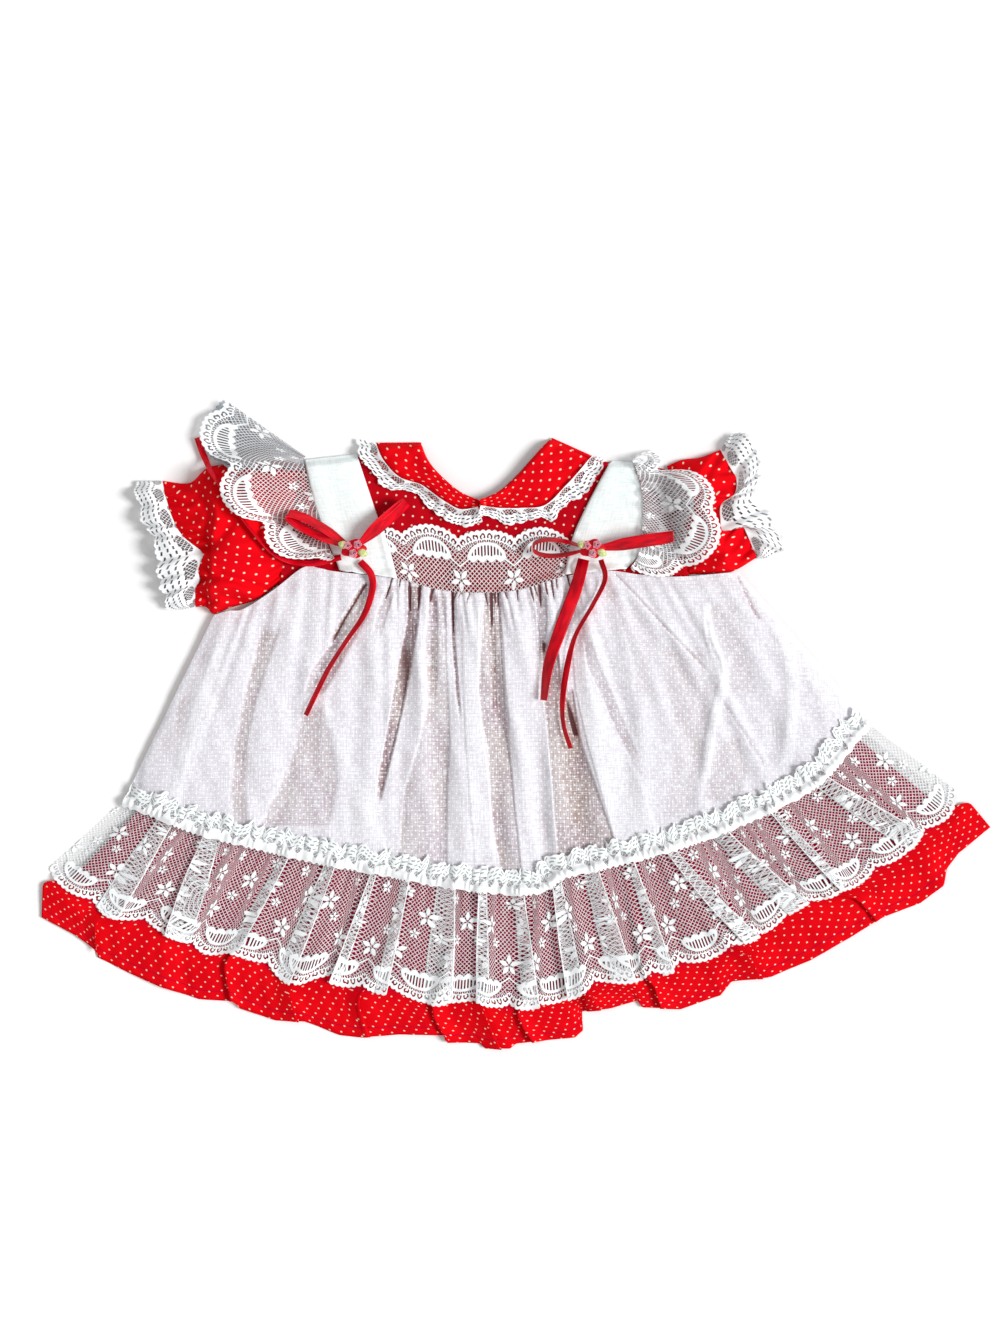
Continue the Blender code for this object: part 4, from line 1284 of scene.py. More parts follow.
@dataclass
class Skirt:
    """Red skirt, front and back."""

    tailor: Tailor
    cotton: PinDotCotton = field(default_factory=lambda: PinDotCotton(stitch=6.5))
    base: float = 2.6
    columns: int = 520

    def rows(self, share: Array, depth: Array, stops: tuple[float, float]) -> Array:
        """Places on the skirt: between each pair of its four lines they run straight."""
        lines = [Line(CHEST_SEAM), Line(LACE_SEAM), Line(LACE_EDGE), Line(HEM, curved=False)]
        places = [line.at(share) for line in lines]
        edges = (0.0, *stops, 1.0)
        out = places[0]
        for index in range(3):
            between = np.clip((depth - edges[index]) / (edges[index + 1] - edges[index]), 0, 1)[..., None]
            out = np.where(depth[..., None] >= edges[index], places[index] * (1 - between) + places[index + 1] * between, out)
        return out

    def inset(self, depth: Array) -> Array:
        """How far the skirt's sides stay inside the pinafore's, as a share: a little above, most under the lace."""
        return (0.010 + 0.014 * smooth(depth, 0.40, 0.50)) * (1 - smooth(depth, 0.82, 0.90))

    def front(self) -> None:
        """The front, with pleats that turn over at the hem."""
        depth, share = grid(90, self.columns)
        stops = (0.52, 0.86)
        growth = smooth(depth, 0.45, 1.0)
        move, lift = turned(share, HEM_PLEATS, 520.0, growth)
        inset = self.inset(depth)
        places = self.rows(inset + (share + move * growth) * (1 - 2 * inset), depth, stops)
        wave = wander(share * 520, 60, 0.7) * 1.2 * depth + wander(share * 520, 23, 2.0) * 0.5 * depth
        height = self.base + 0.6 + wave + lift * growth + 0.8 * depth
        height -= 2.4 * smooth(depth, 0.9, 1.0)
        side = smooth(share, 0, 0.03) * (1 - smooth(share, 0.97, 1))
        height = 1.2 + (height - 1.2) * (0.35 + 0.65 * side)
        points = np.concatenate([places, np.maximum(height, 0.6)[..., None]], axis=-1)
        along = flat_length(points[-1:])[0]
        flat = np.stack([np.broadcast_to(along, share.shape), (1 - depth) * 225], axis=-1)
        # Painted shade under the hem lace, passed to the cotton through lift.
        lace_shade_mask = smooth(depth, 0.50, 0.54) * (1 - smooth(depth, 0.80, 0.87))
        made = self.tailor.piece(
            "skirt_front_cloth", points, flat, self.cotton, ["skirt_front"], wall=0.4, lift=0.5 - 0.5 * lace_shade_mask,
        )
        self.tailor.sheet(made, (0.56, 0.24), "laid", ["skirt_back_cloth"])

    def back(self) -> None:
        """The back, flat on the surface."""
        depth, share = grid(30, 160)
        inset = 0.004 + self.inset(depth)
        places = self.rows(inset + share * (1 - 2 * inset), depth * 0.985, (0.52, 0.86))
        height = 1.4 + 0.15 * wander(share * 500, 40, 1.0) - 0.7 * smooth(depth, 0.88, 1.0)
        points = np.concatenate([places, height[..., None]], axis=-1)
        flat = np.stack([share * 520, (1 - depth) * 225], axis=-1)
        made = self.tailor.piece("skirt_back_cloth", points, flat, self.cotton, ["skirt_back"], wall=0.4)
        self.tailor.sheet(made, (0.50, 0.24), "laid", ["pinafore_back_cloth"])


@dataclass
class Pinafore:
    """Sheer skirt over the red one, with the gathers of its top seam."""

    tailor: Tailor
    cloth: SheerBatiste = field(default_factory=SheerBatiste)
    columns: int = 560
    gathers: tuple[float, float] = (-64.0, 26.0)

    def front(self) -> None:
        """The front: creases from the table, fine gathers under the lace insertion, and a slack wave."""
        depth, share = grid(170, self.columns)
        top, foot = Line(CHEST_SEAM), Line(LACE_SEAM)
        even = np.linspace(0, 1, 400)
        even_x = top.at(even)[:, 0]
        crowd = np.cumsum(1 + 1.4 * smooth(even_x, -74, -62) * (1 - smooth(even_x, 28, 40)))
        share = np.interp(share, (crowd - crowd[0]) / (crowd[-1] - crowd[0]), even)
        seam = top.at(share)
        places = seam * (1 - depth[..., None]) + foot.at(share) * depth[..., None]
        seam_x = seam[..., 0]
        under_yoke = smooth(seam_x, self.gathers[0] - 8, self.gathers[0] + 2) * (
            1 - smooth(seam_x, self.gathers[1] - 2, self.gathers[1] + 8)
        )
        turn = seam_x / 5.4 + 0.35 * wander(seam_x, 31, 0.4)
        valley = bump((turn - np.rint(turn)) / 0.42)
        fine = -1.1 * valley * under_yoke * (1 - smooth(depth, 0.01, 0.18))
        second = TAU * (seam_x / 12.5 + 0.3 * wander(seam_x, 47, 1.4))
        medium = 0.7 * np.cos(second) * (0.1 + 0.9 * under_yoke) * smooth(depth, 0.02, 0.3) * (1 - 0.7 * depth)
        sides = 0.4 * np.cos(TAU * (seam_x / 9 + 0.3 * wander(seam_x, 40, 2.2))) * (1 - under_yoke) * (1 - depth)
        slack = 0.5 * wander(places[..., 0] + 0.4 * places[..., 1], 33, 0.3)
        soft = fine + medium + sides + slack + 0.32 * creased(places, OVERLAY_CREASES)
        planes = planed(places, PLANES)
        slits = slitted(places, seam, SLITS)
        relief = soft - 1.5 * np.clip(planes, -0.4, 1.0) - 0.8 * slits
        side = smooth(share, 0, 0.10) * (1 - smooth(share, 0.90, 1))
        height = self.tailor.pile.rest(places, 3, 4, 1.4)
        height += (relief + 2.2) * (0.4 + 0.6 * side) * (0.6 + 0.4 * smooth(depth, 0, 0.10))
        height = np.maximum(height, self.tailor.pile.at(places, 1, 0) + 0.5) - 0.8 * smooth(depth, 0.97, 1.0)
        points = np.concatenate([places, height[..., None]], axis=-1)
        flat = np.stack([places[..., 0] * 1.0 + share * 40, places[..., 1]], axis=-1)
        # lift carries painted shade to the cloth, lower in troughs, planes and slits, and painted highlight, higher on
        # ridges and planes whose shade is below nought.
        lift = np.clip(0.5 + soft / 16 - 0.40 * planes - 0.7 * slits, 0, 1)
        made = self.tailor.piece("pinafore_front_cloth", points, flat, self.cloth, ["pinafore_front"], lift=lift)
        self.tailor.sheet(made, (0.42, 0.17), "laid", ["skirt_front_cloth"])

    def back(self) -> None:
        """The back, flat on the surface."""
        depth, share = grid(24, 120)
        inside = 0.012 + share * 0.976
        places = Line(CHEST_SEAM).at(inside) * (1 - depth[..., None]) + Line(LACE_SEAM).at(inside) * depth[..., None]
        height = 0.55 + 0.12 * wander(share * 330, 25, 3.0)
        points = np.concatenate([places, height[..., None]], axis=-1)
        flat = np.stack([places[..., 0], places[..., 1]], axis=-1)
        made = self.tailor.piece("pinafore_back_cloth", points, flat, self.cloth, ["pinafore_back"])
        self.tailor.sheet(made, (0.40, 0.17), "laid")


@dataclass
class HemLace:
    """Gathered lace at the foot of the pinafore, with its heading."""

    tailor: Tailor
    lace: ScallopLace = field(default_factory=ScallopLace)
    # The heading's dashes take a pale grey painted shade.
    edging: EdgingLace = field(
        default_factory=lambda: EdgingLace(
            name="white_heading_lace", hole_shade=(0.36, 0.41, 0.40), hole=0.92, depth=9.0, window=7.0, rows=3,
        )
    )
    depth: float = 65.0
    columns: int = 1300

    def ruffle(self) -> None:
        """The ruffle: its row at each depth runs between seam and free edge, turned over at the pleats."""
        depth, share = grid(42, self.columns)
        seam, edge = Line(LACE_SEAM), Line(LACE_EDGE)
        move, lift = turned(share, LACE_PLEATS, 520.0, depth)
        lift *= 0.62
        shifted = share + move
        back = np.gradient(shifted, axis=1) < 0
        turning = np.zeros(share.shape)
        for step, strength in ((1, 1.0), (2, 1.0), (3, 0.5)):
            changed = (np.roll(back, step, axis=1) != np.roll(back, -step, axis=1)) * strength
            turning = np.maximum(turning, changed)
        places = seam.at(shifted) * (1 - depth[..., None]) + edge.at(shifted) * depth[..., None]
        ground = self.tailor.pile.at(places, 2, 4) - 0.6
        puckers = TAU * (share * 520 / 6.5 + 0.4 * wander(share * 520, 50, 0.9))
        gather = 0.7 * (0.5 + 0.5 * np.cos(puckers)) * (1 - smooth(depth, 0, 0.45))
        wave = 0.7 * wander(share * 520, 21, 1.7) * depth
        height = ground + 1.3 + lift + gather + wave
        height = np.maximum(height, self.tailor.pile.at(places, 1, 0) + 0.5)
        points = np.concatenate([places, height[..., None]], axis=-1)
        along = flat_length(points[-1:])[0]
        flat = np.stack([np.broadcast_to(along, share.shape), (1 - depth) * self.depth], axis=-1)
        made = self.tailor.piece(
            "hem_lace_front_ruffle", points, flat, self.lace, ["hem_lace_front"], lift=0.5 + 0.5 * turning,
        )
        length = float(along[-1])
        log.info("hem lace: %.0f mm of lace in the front ruffle", length)
        self.tailor.sheet(made, (length * 0.94 * MM, self.depth * MM), "gathered", ["skirt_front_cloth"], shaped=False)

    def back(self) -> None:
        """The ruffle at the back, pressed flat under the skirt."""
        depth, share = grid(16, 300)
        seam, edge = Line(LACE_SEAM), Line(LACE_EDGE)
        inside = 0.012 + share * 0.976
        stop = 0.01 + 0.93 * depth[..., None]
        places = seam.at(inside) * (1 - stop) + edge.at(inside) * stop
        height = 0.5 + 0.2 * np.cos(TAU * share * 60) * (1 - depth)
        points = np.concatenate([places, height[..., None]], axis=-1)
        flat = np.stack([share * 540, (1 - depth) * self.depth], axis=-1)
        made = self.tailor.piece("hem_lace_back_ruffle", points, flat, self.lace, ["hem_lace_back"])
        self.tailor.sheet(made, (0.47, self.depth * MM), "gathered", shaped=False)

    def heading(self) -> None:
        """The gathered band over the seam and the frill above it, which waves from side to side."""
        depth, share = grid(22, 1300)
        seam = Line(LACE_SEAM)
        length = seam.length
        along = share * length
        place = seam.at(share)
        ahead = seam.at(share + 0.004) - seam.at(share - 0.004)
        ahead /= np.linalg.norm(ahead, axis=-1, keepdims=True)
        outward = np.stack([-ahead[..., 1], ahead[..., 0]], axis=-1)
        frill = TAU * (along / 8.5 + 0.8 * wander(along, 37, 0.6))
        fan = np.abs(np.sin(math.pi * (along / 7.5 + 0.5 * wander(along, 29, 2.2))))
        reach = 8.4 + 3.0 * fan + 1.4 * wander(along, 17, 1.1)
        foot = 2.4 + 0.5 * np.cos(frill * 2 + 1.0)
        rise = -foot + depth * (reach + foot)
        upper = smooth(rise, 1.5, 6.0)
        sway = 1.1 * np.sin(frill) * upper
        places = place + outward * rise[..., None] + ahead * sway[..., None]
        band = bump((rise - 0.4) / 3.0)
        ground = self.tailor.pile.at(places, 2, 3)
        loops = np.cos(TAU * (along / 4.2 + 0.7 * wander(along, 23, 1.9)))
        height = ground + 0.4 + (1.0 + 0.35 * loops) * band + (0.9 + 0.7 * np.cos(frill)) * upper
        points = np.concatenate([places, height[..., None]], axis=-1)
        flat = np.stack([along * 1.5, reach - rise], axis=-1)
        made = self.tailor.piece("hem_heading_frill", points, flat, self.edging, ["hem_heading"])
        self.tailor.sheet(made, (length * 1.3 * MM, 0.012), "gathered", ["pinafore_front_cloth"], shaped=False)


@dataclass
class Bodice:
    """Red bodice, front and two back halves, with the buttons."""

    tailor: Tailor
    # A darker copy of the red cotton: painted shade over the whole bodice.
    cotton: PinDotCotton = field(default_factory=lambda: PinDotCotton(
            name="red_bodice_cotton", turn=0.12, red=(0.55, 0.002, 0.008), deep=(0.33, 0.0, 0.008),
        ))
    button: Plain = field(
        default_factory=lambda: Plain("white_button", "button_white", (0.86, 0.86, 0.83), (0.9, 0.9, 0.88), 0.25)
    )

    def panel(
        self, name: str, stations: Sequence[Station], base: float, nodes: list[str], relief: float,
        size: tuple[int, int],
    ) -> bpy.types.Object:
        """A panel of so many rows and columns, whose columns run from its top edge to its foot."""
        depth, share = grid(*size)
        top = Line([station.start for station in stations], curved=False)
        foot = Line([station.end for station in stations], curved=False)
        where = np.linspace(0, 1, len(stations))
        fine = np.linspace(0, 1, share.shape[1])
        tops = np.stack([np.interp(fine, where, top.knots[:, axis]) for axis in range(2)], axis=-1)
        feet = np.stack([np.interp(fine, where, foot.knots[:, axis]) for axis in range(2)], axis=-1)
        places = tops[None] * (1 - depth[..., None]) + feet[None] * depth[..., None]
        height = base + relief * (
            0.8 * wander(places[..., 0] + 0.3 * places[..., 1], 42, 0.5) + 0.5 * wander(places[..., 1], 27, 1.8)
        )
        points = np.concatenate([places, height[..., None]], axis=-1)
        made = self.tailor.piece(name, points, places, self.cotton, nodes, wall=0.4)
        return made

    def build(self) -> None:
        """Lays the back halves, then the front."""
        for side, stations in BACK_HALVES.items():
            name = f"bodice_back_{side.value}"
            made = self.panel(f"{name}_cloth", stations, 1.8, [name], 0.1, (40, 70))
            self.tailor.sheet(made, (0.11, 0.085), "laid")
        made = self.panel("bodice_front_cloth", BODICE_FRONT, 3.5, ["bodice_front"], 0.6, (50, 160))
        self.tailor.sheet(made, (0.24, 0.09), "laid", ["bodice_back_left_cloth", "bodice_back_right_cloth"])
        for index in (1, 2, 3):
            node = bpy.data.objects[f"back_button_{index}"]
            node.data.materials.clear()
            node.data.materials.append(self.tailor.finish(self.button))


@dataclass
class Collar:
    """One of the two flat collar pieces and its lace."""

    tailor: Tailor
    side: Side
    cotton: PinDotCotton = field(default_factory=lambda: PinDotCotton(name="red_collar_cotton", turn=0.72, pitch=4.2))
    edging: EdgingLace = field(default_factory=EdgingLace)

    def band(self, neck: Line, edge: Line, rows: int, columns: int) -> tuple[Array, Array, Array]:
        """Places between two lines, from the centre front to the shoulder."""
        across, along = grid(rows, columns)
        places = neck.at(along) * (1 - across[..., None]) + edge.at(along) * across[..., None]
        return places, across, along

    def cloth(self) -> None:
        """The collar: gently crowned, rolled down at the neck and turned over at the shoulder."""
        neck, edge = Line(COLLAR_NECK[self.side]), Line(COLLAR_EDGE[self.side])
        places, across, along = self.band(neck, edge, 30, 120)
        length = neck.length
        ground = self.tailor.pile.rest(places, 2, 3, 0.0)
        crown = 1.1 + 1.5 * (1 - (2 * across - 1) ** 4) + 1.2 * (1 - smooth(across, 0.0, 0.35))
        soft = 0.35 * wander(places[..., 0] - places[..., 1], 19, 0.8)
        over = smooth(along, 0.93, 1.0)
        low = np.maximum(ground, 3.4)
        height = (low + crown + soft) * (1 - over) + 1.4 * over
        height = np.maximum(height - 1.0 * (1 - smooth(across, 0.0, 0.05)), 1.2)
        points = np.concatenate([places, height[..., None]], axis=-1)
        flat = np.stack([along * length, across * 22], axis=-1)
        name = f"collar_{self.side.value}"
        made = self.tailor.piece(f"{name}_cloth", points, flat, self.cotton, [name], wall=0.9)
        self.tailor.sheet(made, (0.055, 0.035), "laid", ["bodice_front_cloth"])

    def lace(self) -> None:
        """The edging, ruffled against the collar's edge."""
        edge, free = Line(COLLAR_EDGE[self.side]), Line(COLLAR_LACE_EDGE[self.side])
        across, along = grid(18, 420)
        length = free.length
        ripple = TAU * (along * length / 8.5 + 0.35 * wander(along * length, 31, 1.3))
        sway = 0.9 * np.sin(ripple) * across / length
        start = edge.at(along)
        places = start * (1 - across[..., None]) + free.at(along + sway) * across[..., None]
        push = 0.6 * np.cos(ripple) * across
        toward = free.at(along) - start
        toward /= np.maximum(np.linalg.norm(toward, axis=-1, keepdims=True), 1e-6)
        places = places + toward * push[..., None]
        ground = self.tailor.pile.at(places, 2, 2)
        height = np.maximum(ground, 3.4) + 0.9 + 0.9 * (0.5 + 0.5 * np.cos(ripple)) * (0.3 + across) + 0.8 * (1 - across)
        over = smooth(along, 0.94, 1.0)
        height = height * (1 - over) + 2.2 * over
        points = np.concatenate([places, height[..., None]], axis=-1)
        flat = np.stack([along * length * 1.05, (1 - across) * 10.0], axis=-1)
        name = f"collar_lace_{self.side.value}"
        made = self.tailor.piece(f"{name}_edging", points, flat, self.edging, [name])
        self.tailor.sheet(made, (length * 1.05 * MM, 0.010), "gathered", ["bodice_front_cloth"], shaped=False)


@dataclass
class Sleeve:
    """A puffed sleeve and the lace at its end."""

    tailor: Tailor
    side: Side
    cotton: PinDotCotton = field(default_factory=lambda: PinDotCotton(name="red_sleeve_cotton", turn=0.35))
    edging: EdgingLace = field(
        default_factory=lambda: EdgingLace(name="white_sleeve_lace", depth=15.0, window=15.0, rows=4)
    )

    def tube(self, rings: Sequence[Ring], rows: int, sides: int) -> tuple[Array, Array, Array, Array]:
        """A flattened tube: round each ring the place runs down its line and back up by a cosine.

        Args:
            rings: The rings.
            rows: Rows along the tube.
            sides: Points round it.

        Returns:
            Places, heights, shares along the tube and angles round it.
        """
        out, angle = np.meshgrid(np.linspace(0, 1, rows), np.linspace(0, TAU, sides, endpoint=False), indexing="ij")
        share = 0.5 - 0.5 * np.cos(angle[0])
        where = np.linspace(0, len(rings) - 1, rows)
        places = catmull(np.stack([Line(ring.line).at(share) for ring in rings]), where)
        tall = catmull(np.array([[ring.height] for ring in rings], dtype=float), where)
        sine = np.sin(angle)
        height = np.where(sine >= 0, 0.6 + (tall - 0.6) * np.abs(sine) ** 0.8, 0.6 - 0.3 * np.abs(sine) ** 0.5)
        return places, height, out, angle

    def cloth(self) -> None:
        """The sleeve, with gathers at both ends and its creases on the upper side."""
        places, height, out, angle = self.tube(SLEEVES[self.side], 76, 200)
        upper = smooth(np.sin(angle), 0.0, 0.35)
        around = (0.5 - 0.5 * np.cos(angle)) * 70
        gathers = np.cos(TAU * (around / 7.5 + 0.4 * wander(around, 37, 1.0)))
        ends = (1 - smooth(out, 0.0, 0.35)) * 1.0 + smooth(out, 0.62, 0.95) * 1.3
        puff = 0.9 * wander(around + 30 * out, 26, 2.0)
        height = height + upper * (gathers * ends + puff + creased(places, SLEEVE_CREASES))
        points = np.concatenate([places, np.maximum(height, 0.3)[..., None]], axis=-1)
        shifted = places + np.stack([0.5 * height, 0.4 * height], axis=-1)
        flat = np.concatenate([shifted, shifted[:, :1]], axis=1)
        name = f"sleeve_{self.side.value}"
        made = self.tailor.piece(f"{name}_cloth", points, flat, self.cotton, [name], closed=True)
        self.tailor.sheet(made, (0.19, 0.065), "laid")

    def lace(self) -> None:
        """The edging round the end of the sleeve, rippled towards its free edge."""
        ends, edge = SLEEVE_ENDS[self.side], SLEEVE_LACE_EDGES[self.side]
        places, height, out, angle = self.tube((Ring(ends, 8.4), Ring(edge, 8.4)), 24, 400)
        upper = smooth(np.sin(angle), 0.0, 0.35)
        around = (0.5 - 0.5 * np.cos(angle)) * 75
        ripple = TAU * (around / 9.5 + 0.4 * wander(around, 29, 0.5))
        height = height + upper * (1.5 * np.cos(ripple) * (0.3 + out) + 2.4 * bump(out * 2 - 1))
        ahead = places[-1] - places[0]
        ahead = ahead / np.maximum(np.linalg.norm(ahead, axis=-1, keepdims=True), 1e-6)
        places = places + ahead[None] * (0.8 * np.sin(ripple + 0.8) * out)[..., None]
        points = np.concatenate([places, np.maximum(height, 0.3)[..., None]], axis=-1)
        lap = 210.0
        turn = np.broadcast_to(np.linspace(0, lap, angle.shape[1] + 1), (len(out), angle.shape[1] + 1))
        depth = np.broadcast_to((1 - out[:, :1]) * 15, turn.shape)
        flat = np.stack([turn, depth], axis=-1)
        name = f"sleeve_lace_{self.side.value}"
        made = self.tailor.piece(f"{name}_edging", points, flat, self.edging, [name], closed=True)
        self.tailor.sheet(made, (lap * MM, 0.015), "gathered", shaped=False)


@dataclass
class StrapSet:
    """A strap and the lace wing beside it."""

    tailor: Tailor
    side: Side
    cotton: StrapCotton = field(default_factory=StrapCotton)
    lace: ScallopLace = field(
        default_factory=lambda: ScallopLace(name="white_wing_lace", hole=0.34, repeat=37.0, radius=34.0)
    )
    # A darker copy of the wing lace: painted shade, for the layer under the left wing.
    shaded_lace: ScallopLace = field(
        default_factory=lambda: ScallopLace(
            name="white_wing_lace_in_shade", white=(0.42, 0.48, 0.52), hole=0.34, repeat=37.0, radius=34.0,
        )
    )

    def strap(self) -> None:
        """The strap, softly crowned and turned over at the shoulder."""
        outer, inner = (Line(table) for table in STRAPS[self.side])
        across, along = grid(28, 120)
        places = outer.at(along) * (1 - across[..., None]) + inner.at(along) * across[..., None]
        ground = np.maximum(self.tailor.pile.rest(places, 2, 4, 0.0), 3.2)
        crown = 1.0 + 1.1 * (1 - (2 * across - 1) ** 6)
        over = smooth(along, 0.92, 1.0)
        height = (ground + crown + 0.3 * wander(along * 60 + across * 9, 21, 0.9)) * (1 - over) + 1.6 * over
        points = np.concatenate([places, height[..., None]], axis=-1)
        flat = np.stack([across * 28, along * 60], axis=-1)
        name = f"strap_{self.side.value}"
        made = self.tailor.piece(f"{name}_cloth", points, flat, self.cotton, [name], wall=0.7)
        self.tailor.sheet(made, (0.034, 0.062), "laid", ["bodice_front_cloth"])

    def fan(
        self, shares: tuple[float, float], rows: int, columns: int, reach: float = 1.0
    ) -> tuple[Array, Array, Array, Array]:
        """Part of the wing: places between its sewn edge and its free edge.

        Args:
            shares: From where to where it reaches, foot to shoulder.
            rows: Rows from the sewn edge to the free edge.
            columns: Columns from foot to shoulder.
            reach: How much of the way to the free edge it goes.

        Returns:
            Places, depths, shares and flat coordinates.
        """
        stations = WINGS[self.side]
        depth, share = grid(rows, columns)
        share = shares[0] + share * (shares[1] - shares[0])
        where = np.linspace(0, 1, len(stations))
        starts, ends = (
            catmull(np.array([station[end] for station in stations], dtype=float), share[0] * (len(stations) - 1))
            for end in (0, 1)
        )
        ends = starts + (ends - starts) * reach
        places = starts[None] * (1 - depth[..., None]) + ends[None] * depth[..., None]
        rim = catmull(np.array([station.end for station in stations], dtype=float), where * (len(stations) - 1))
        fine = catmull(rim, np.linspace(0, len(rim) - 1, 600))
        run = np.concatenate([[0.0], np.cumsum(np.linalg.norm(np.diff(fine, axis=0), axis=1))])
        along = np.interp(share, np.linspace(0, 1, 600), run)
        cusp = {Side.LEFT: 9 / 14, Side.RIGHT: 10 / 13}[self.side]
        along = along - np.interp(cusp, np.linspace(0, 1, 600), run)
        deep = np.minimum(np.linalg.norm(ends - starts, axis=-1), 46.0)
        flat = np.stack([along, (1 - depth) * deep[None]], axis=-1)
        return places, depth, share, flat

    def wing(self) -> None:
        """The wing: lace fanned between its sewn edge and its free edge, with folds that run out to the edge."""
        places, depth, share, flat = self.fan((0.0, 1.0), 40, 300)
        ground = self.tailor.pile.rest(places, 3, 6, 0.0)
        folds = np.cos(TAU * (share * 7.3 + 0.5 * wander(share * 100, 60, 0.8)))
        spread_out = smooth(depth, 0.05, 0.7)
        height = ground + 0.9 + (0.9 + 1.0 * folds) * (0.4 + 0.6 * (1 - spread_out)) + 0.7 * spread_out
        name = f"wing_lace_{self.side.value}"
        if self.side is Side.LEFT:
            height += 2.0 * smooth(share, 0.66, 0.85)
        points = np.concatenate([places, height[..., None]], axis=-1)
        made = self.tailor.piece(f"{name}_fan", points, flat, self.lace, [name])
        rim = float(flat[0, -1, 0] - flat[0, 0, 0])
        self.tailor.sheet(made, (rim * MM, 0.038), "gathered", [f"sleeve_{self.side.value}_cloth"])
        log.info("wing %s: free edge %.0f mm", self.side.value, rim)

    def wing_under(self) -> None:
        """A second layer under the wing: its back half on the left, its gathered top on the right."""
        # On the left this layer takes the darker lace, painted shade under the standing part of the wing.
        shares, reach, lace = {
            Side.LEFT: ((0.62, 1.0), 1.0, self.shaded_lace), Side.RIGHT: ((0.0, 1.0), 0.62, self.lace),
        }[self.side]
        places, depth, share, flat = self.fan(shares, 30, 160, reach)
        places = places + np.array((1.5, -1.0)) * depth[..., None]
        ground = self.tailor.pile.at(places, 2, 3)
        height = ground + 0.7 + 0.4 * np.cos(TAU * share * 9)
        points = np.concatenate([places, height[..., None]], axis=-1)
        name = f"wing_lace_{self.side.value}"
        made = self.tailor.piece(f"{name}_under_fan", points, flat + np.array((11.0, 0.0)), lace, [name])
        rim = float(flat[0, -1, 0] - flat[0, 0, 0])
        self.tailor.sheet(made, (rim * MM, 0.038), "gathered")


@dataclass
class YokeLace:
    """Lace set in between the straps."""

    tailor: Tailor
    lace: ScallopLace = field(default_factory=lambda: ScallopLace(name="white_yoke_lace", hole=0.28, repeat=28.5))

    def build(self) -> None:
        """The insertion, flat on the bodice, its scallops upwards."""
        depth, share = grid(40, 260)
        top, foot = Line(YOKE_TOP), Line(YOKE_FOOT)
        places = top.at(share) * (1 - depth[..., None]) + foot.at(share) * depth[..., None]
        ground = self.tailor.pile.at(places, 2, 4)
        height = ground + 0.7 + 0.3 * wander(share * 95, 20, 1.0) * (1 - depth)
        points = np.concatenate([places, height[..., None]], axis=-1)
        flat = np.stack([share * 97 - 10, depth * 31], axis=-1)
        made = self.tailor.piece("yoke_lace_insertion", points, flat, self.lace, ["yoke_lace"])
        self.tailor.sheet(made, (0.096, 0.031), "laid", ["bodice_front_cloth"])


